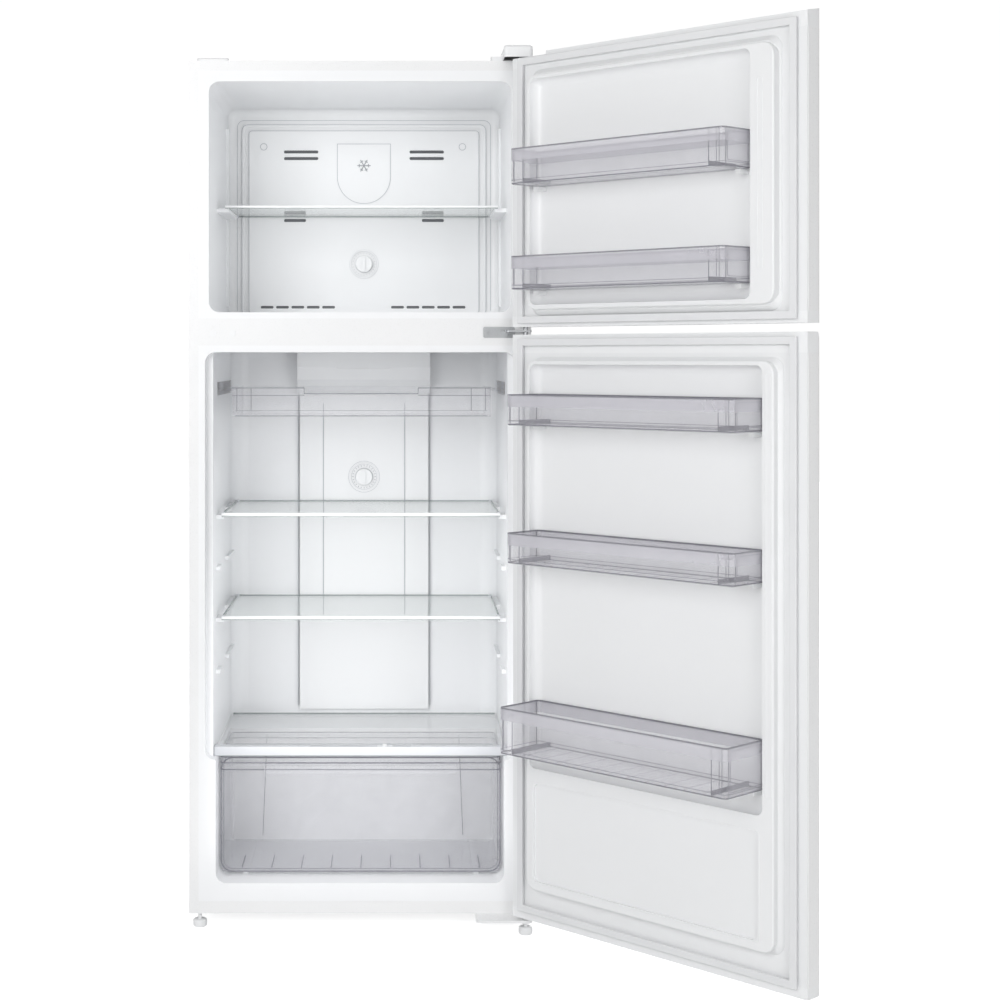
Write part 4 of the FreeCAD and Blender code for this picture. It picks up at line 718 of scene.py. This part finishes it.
settle("fridge_back_coves", build, "vacuum_formed_polystyrene_liner", "cabinet", angle=50)

# %% [markdown]
# The doors' liners have the same soft corners round the recess that holds the bins.

# %% Door coves
for door, sides in (("freezer_door", (-580, -52, 1272, 1721)), ("fridge_door", (-606, -51, 352, 1154))):
    build = bmesh.new()
    sweep_into(build, rectangle_loop(*sides, 14, 6), cove(17), on_door_face)
    settle(f"{door}_recess_cove", build, "vacuum_formed_polystyrene_door_liner", door, DOOR_OPEN, 50)

# %% [markdown]
# A long shallow bead is drawn into the liner's pillar beside each recess, and one runs round the lower panel. Beads
# stiffen a thin sheet, and here they also keep the foam from showing as waves.

# %% Door beads
BEAD = [(0, 21.6), (0.5, 22.7), (1.7, 22.7), (2.2, 21.6)]
for door, loops in (("freezer_door", [(-607, -594, 1323, 1669, 6.4)]),
                    ("fridge_door", [(-624, -612, 384, 1140, 5.9), (-600, -58, 124, 326, 9)])):
    build = bmesh.new()
    for left, right, low, high, radius in loops:
        sweep_into(build, rectangle_loop(left, right, low, high, radius, 5), BEAD, on_door_face)
    settle(f"{door}_liner_beads", build, "vacuum_formed_polystyrene_door_liner", door, DOOR_OPEN, 50)

# %% [markdown]
# ## Air cover details
# A dark plate behind each air slot is painted shade, standing in for the shade inside the slot, and the four upper
# slots have dark louvre bars as well. Two round caps hide the cover's screws, each in a grey ring of painted shade,
# and a ring of marks stands round each control.

# %% Louvres, caps and marks
SLOTS = [(-182, -104, 1617), (-182, -104, 1632), (104, 182, 1617), (104, 182, 1632),
         (-182, -132, 1476), (-182, -132, 1494), (132, 182, 1476), (132, 182, 1494)]
# Each plate is a dark sheet of painted shade behind an air slot, where the slot's inside is in shade.
build = bmesh.new()
for left, right, up in SLOTS:
    box_into(build, (left - 2, F + 441.5, up - 2), (right + 2, F + 443, up + 9), 0)
for first in (-235, 62):
    box_into(build, (first - 2, F + 441.5, 1276), (first + 171, F + 443, 1288), 0)
settle("air_slot_painted_shade_plates", build, "louvre_grey_and_painted_slot_shade", "cabinet")
for name, first, wide in (("upper_left", -182, 78), ("upper_right", 104, 78)):
    for level, up in enumerate((1617, 1632)):
        grow(f"louvre_bars_{name}_{level}", ROW, {
            "Count": 13, "Start": millimetres(first + 3, F + 440, up + 3.5), "Step": millimetres(6, 0, 0),
            "Size": millimetres(1.2, 2.4, 7)}, "louvre_grey_and_painted_slot_shade", "cabinet")
CAP_SPOTS, CAP_UP = (-228, 224), 1647
FREEZER_KNOB_UP, FRIDGE_KNOB_UP = 1380, 895
# A grey ring round each screw cap is painted shade along the cap's edge.
build = bmesh.new()
for across in CAP_SPOTS:
    rod_into(build, (across, F + 435.2, CAP_UP), (across, F + 434.3, CAP_UP), 8.2, 28)
settle("air_cover_cap_painted_shade_rings", build, "seam_and_painted_shade_grey", "cabinet")
build = bmesh.new()
for across in CAP_SPOTS:
    rod_into(build, (across, F + 434.8, CAP_UP), (across, F + 433.4, CAP_UP), 7, 28, 6.4)
settle("air_cover_screw_caps", build, "injection_moulded_white_abs", "cabinet")
for name, face, up in (("freezer", 434.9, FREEZER_KNOB_UP), ("fridge", 455.9, FRIDGE_KNOB_UP)):
    grow(f"{name}_control_marks", RING, {
        "Count": 24, "Centre": millimetres(0, F + face, up), "Radius": 25.5 * MM,
        "Size": millimetres(3.4, 0.9, 0.5), "Turn": FACE_FRONT}, "moulded_grey_print_ink", "cabinet")

# %% [markdown]
# The air cover is one moulding with a ridge and a raised panel. Fine grey lines run round them, round the controls
# and beside the duct: partly seams where the tool's inserts met, partly painted shade where a raised edge shades the
# wall beside it. The lines stand about half a millimetre proud.

# %% Seam lines and painted shade lines of the air cover and the duct
SEAM = 0.45
build = bmesh.new()
for half, low, high, radius, face in ((289, 1262, 1708, 16, 0), (278, 1262, 1698, 14, 4),
                                      (262, 1267, 1684, 8, 5)):
    sweep_into(build, rectangle_loop(-half, half, low, high, radius, 6),
               [(0, face - 0.3), (0, face + SEAM), (1.1, face + SEAM), (1.1, face - 0.3)], before_freezer_back)
for radius in (33, 29.6, 19.5):
    sweep_into(build, circle_loop(0, FREEZER_KNOB_UP, radius),
               [(0, 3.6), (0, 5.4), (0.7, 5.4), (0.7, 3.6)], before_freezer_back)
settle("air_cover_seams_and_painted_shade", build, "seam_and_painted_shade_grey", "cabinet")

DUCT_FACE = 456


def before_duct(across, up, out):
    return (across, F + DUCT_FACE - out, up)


DUCT_LOW, DUCT_HIGH, DUCT_EDGE = 372, 1078, 150
# The grey strips just outside the duct's two edges are painted shade from the raised duct; the inner lines and the
# rings round the control are partly seams and partly painted shade.
build = bmesh.new()
for side in (-1, 1):
    for inner, outer, near, far in ((92, 94, 456.3, 456.9), (DUCT_EDGE, DUCT_EDGE + 1.0, 457, FRIDGE_BACK)):
        low = 582 if inner < DUCT_EDGE else DUCT_LOW
        box_into(build, (min(side * inner, side * outer), F + near, low),
                 (max(side * inner, side * outer), F + far, DUCT_HIGH), 0)
for radius in (36, 32.6, 29.4, 20):
    sweep_into(build, circle_loop(0, FRIDGE_KNOB_UP, radius),
               [(0, -0.4), (0, 0.5), (0.7, 0.5), (0.7, -0.4)], before_duct)
settle("air_duct_seams_and_painted_shade", build, "seam_and_painted_shade_grey", "cabinet")

# %% [markdown]
# The shallow tray is clear, so it shows as lines: its rolled top edge, which dips in the middle for the hand, a step
# below it, and the edge of its floor.

# %% Tray lines
build = bmesh.new()
TRAY_FACE = F + 119.4
TRAY_DIP = 120
for low, high in ((1102.6, 1104.4), (1087, 1088)):
    for side in (-1, 1):
        ends = sorted((side * TRAY_DIP, side * 273))
        box_into(build, (ends[0], TRAY_FACE, low), (ends[1], TRAY_FACE + 1.4, high), 0.2)
box_into(build, (-TRAY_DIP, TRAY_FACE, 1090.6), (TRAY_DIP, TRAY_FACE + 1.4, 1092.2), 0.2)
box_into(build, (-266, TRAY_FACE, 1043.6), (266, TRAY_FACE + 1.2, 1045.2), 0.2)
box_into(build, (-266, TRAY_FACE, 1055), (266, TRAY_FACE + 1.0, 1055.8), 0.2)
for side in (-1, 1):
    for across in (TRAY_DIP, 232, 262):
        box_into(build, (side * across - 0.6, TRAY_FACE, 1056 if across > TRAY_DIP else 1091),
                 (side * across + 0.6, TRAY_FACE + 1.2, 1103), 0.2)
settle("chiller_tray_lines", build, "polystyrene_moulding_edge", "chiller_tray_body")

# %% [markdown]
# The shield is a plain badge. A raised border, grey as painted shade along the badge's edge, and a six-armed snow
# mark say what the compartment is for, without any lettering.

# %% Shield mark
SHIELD_HALF, SHIELD_ARC, SHIELD_TOP, SHIELD_STEPS = 61, 1578, 1654, 24
MARK_UP, MARK_FACE, MARK_REACH = 1604, F + 433.2, 15
build = bmesh.new()
for arm in range(3):
    turn = math.radians(60 * arm)
    across, rise = math.cos(turn), math.sin(turn)
    rod_into(build, (-MARK_REACH * across, MARK_FACE, MARK_UP - MARK_REACH * rise),
             (MARK_REACH * across, MARK_FACE, MARK_UP + MARK_REACH * rise), 1.0, 8)
    for end in (-1, 1):
        for lean in (-1, 1):
            tip = turn + lean * math.radians(60)
            root = (end * 9 * across, MARK_FACE, MARK_UP + end * 9 * rise)
            point = (root[0] + end * 4.5 * math.cos(tip), MARK_FACE, root[2] + end * 4.5 * math.sin(tip))
            rod_into(build, root, point, 0.8, 8)
shield_painted_shade_border = [(-SHIELD_HALF, SHIELD_TOP, 1, -1), (-SHIELD_HALF, SHIELD_ARC, 1, 0)]
for step in range(1, SHIELD_STEPS):
    turn = math.pi * step / SHIELD_STEPS
    shield_painted_shade_border.append((-SHIELD_HALF * math.cos(turn), SHIELD_ARC - SHIELD_HALF * math.sin(turn),
                          math.cos(turn), math.sin(turn)))
shield_painted_shade_border += [(SHIELD_HALF, SHIELD_ARC, -1, 0), (SHIELD_HALF, SHIELD_TOP, -1, -1)]
# The border's grey is painted shade along the badge's raised edge.
border = bmesh.new()
sweep_into(border, shield_painted_shade_border, [(0, 6.2), (0, 7.0), (1.3, 7.0), (1.3, 6.2)], before_freezer_back)
settle("shield_painted_shade_border", border, "seam_and_painted_shade_grey", "cabinet")
settle("shield_snow_mark", build, "moulded_grey_print_ink", "cabinet")

# %% [markdown]
# ## Crisper drawer
# The drawer is one deep clear moulding. A flat rim stiffens it, with two lines round it below. Its front has a
# round-cornered outline, its rear wall two uprights, and its floor a row of ribs. Over it lies the lid's opaque trim.

# %% Drawer details
DRAWER_HALF, DRAWER_FRONT, DRAWER_BACK, DRAWER_RIM = 291, F + 60, F + 318, 339
LID_HALF, LID_LOW, LID_TOP, GRIP_LOW, GRIP_TOP = 302.4, 345.2, 363.9, 346, 359.2
build = bmesh.new()
loop = rectangle_loop(-DRAWER_HALF, DRAWER_HALF, DRAWER_FRONT, DRAWER_BACK, 12, 6)


def on_drawer_rim(across, along, out):
    return (across, along, DRAWER_RIM + out)


RIM_LINES = (0, -12, -26)
for line in RIM_LINES:
    sweep_into(build, loop,
               [(-0.6, line - 2), (-0.6, line - 0.6), (-0.02, line), (2, line), (2, line - 2)], on_drawer_rim)
settle("crisper_drawer_rim", build, "polystyrene_moulding_edge", "crisper_drawer_body")
build = bmesh.new()
for inset, wide in ((0.4, 2.2), (6.5, 0.8)):
    sweep_into(build, rectangle_loop(-DRAWER_HALF + inset, DRAWER_HALF - inset, 99.7 + inset, DRAWER_RIM - 1,
                                     26 - inset, 8),
               [(0, -0.5), (0, 0.35), (wide, 0.35), (wide, -0.5)],
               lambda across, up, out: (across, DRAWER_FRONT - out, up))
for side in (-1, 1):
    rod_into(build, (side * 212, DRAWER_BACK - 4, 332), (side * 221, DRAWER_BACK - 4, 112), 0.7, 8)
settle("crisper_drawer_outline", build, "polystyrene_moulding_edge", "crisper_drawer_body")
build = bmesh.new()
box_into(build, (-LID_HALF, F + 39.4, 344.9), (LID_HALF, F + 44, LID_TOP), 1.4)
box_into(build, (-LID_HALF, F + 58, LID_LOW), (LID_HALF, F + 62.6, LID_TOP), 1.2)
for side in (-1, 1):
    ends = sorted((side * 104, side * LID_HALF))
    box_into(build, (ends[0], F + 43, LID_LOW), (ends[1], F + 59, LID_TOP), 0.6)
    box_into(build, (-104.5, F + 51 + side * 5 - 3, GRIP_LOW), (104.5, F + 51 + side * 5 + 3, GRIP_TOP), 0.4)
    ends = sorted((side * 60.5, side * 105))
    box_into(build, (ends[0], F + 46, GRIP_LOW), (ends[1], F + 56, GRIP_TOP), 0.4)
settle("crisper_lid_trim", build, "injection_moulded_lid_trim_polystyrene", "cabinet")
build = bmesh.new()
box_into(build, (-298, F + 38.9, 344.6), (298, F + 40, 345.6), 0.2)
box_into(build, (-298, F + 444, 353.6), (298, F + 445.8, 357), 0.3)
settle("crisper_lid_lines", build, "cut_glass_edge", "cabinet")
grow("crisper_drawer_floor_ribs", ROW, {
    "Count": 9, "Start": millimetres(-248, F + 130, 103.4), "Step": millimetres(62, 0, 0),
    "Size": millimetres(1.6, 90, 2.6)}, "polystyrene_moulding_edge", "crisper_drawer_body")

# %% [markdown]
# ## Feet
# The front feet are round pads with a gripping rib every few degrees, so that they can be turned by hand.

# %% Foot ribs
for name in ("front_foot_left", "front_foot_right"):
    low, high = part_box(name)
    middle = (low + high) / 2
    grow(f"{name}_ribs", RING, {
        "Count": 24, "Centre": (middle.x, middle.y, 8 * MM), "Radius": 13.4 * MM,
        "Size": millimetres(1.4, 1.5, 11), "Turn": FACE_UP},
        "injection_moulded_white_abs", f"{name}_body")

# %% [markdown]
# ## Screws
# The hinges are held by cross-recess screws, and a row of small ones closes the rear sheet.

# %% Hinge and rear screws
grow("middle_hinge_screw_heads", SCREWS, {"Radius": 5 * MM, "Height": 2 * MM, "Turn": FACE_FRONT},
     "bright_zinc_plated_steel", "cabinet",
     points=[(262, F - 5.6, 1219), (303, F - 5.6, 1214)])
rear_screws = [(side * 338, BACK / MM + 0.8, up) for side in (-1, 1) for up in range(360, 1761, 200)]
rear_screws += [(across, BACK / MM + 0.8, 1762) for across in range(-240, 241, 120)]
grow("rear_panel_screws", SCREWS, {"Radius": 4.2 * MM, "Height": 1.6 * MM, "Turn": FACE_BACK},
     "bright_zinc_plated_steel", "cabinet", points=rear_screws)

# %% [markdown]
# ## Condenser wires
# The rear condenser is a serpentine tube with steel wires welded to both sides of it. The wires carry the heat away,
# and from behind they are what one sees. The outer row sits low on the tube, inside the measured depth.

# %% Wires
TUBE_DEEP = 316
for name, deep in (("near", TUBE_DEEP - 3.4), ("far", TUBE_DEEP + 1.8)):
    grow(f"condenser_wires_{name}", WIRES, {
        "Count": 54, "Start": millimetres(-265, deep, 996), "Step": millimetres(10, 0, 0),
        "Length": 1.18, "Radius": 0.75 * MM, "Turn": FACE_UP}, "black_stove_enamel", "cabinet")

# %% Update the scene
bpy.context.view_layer.update()
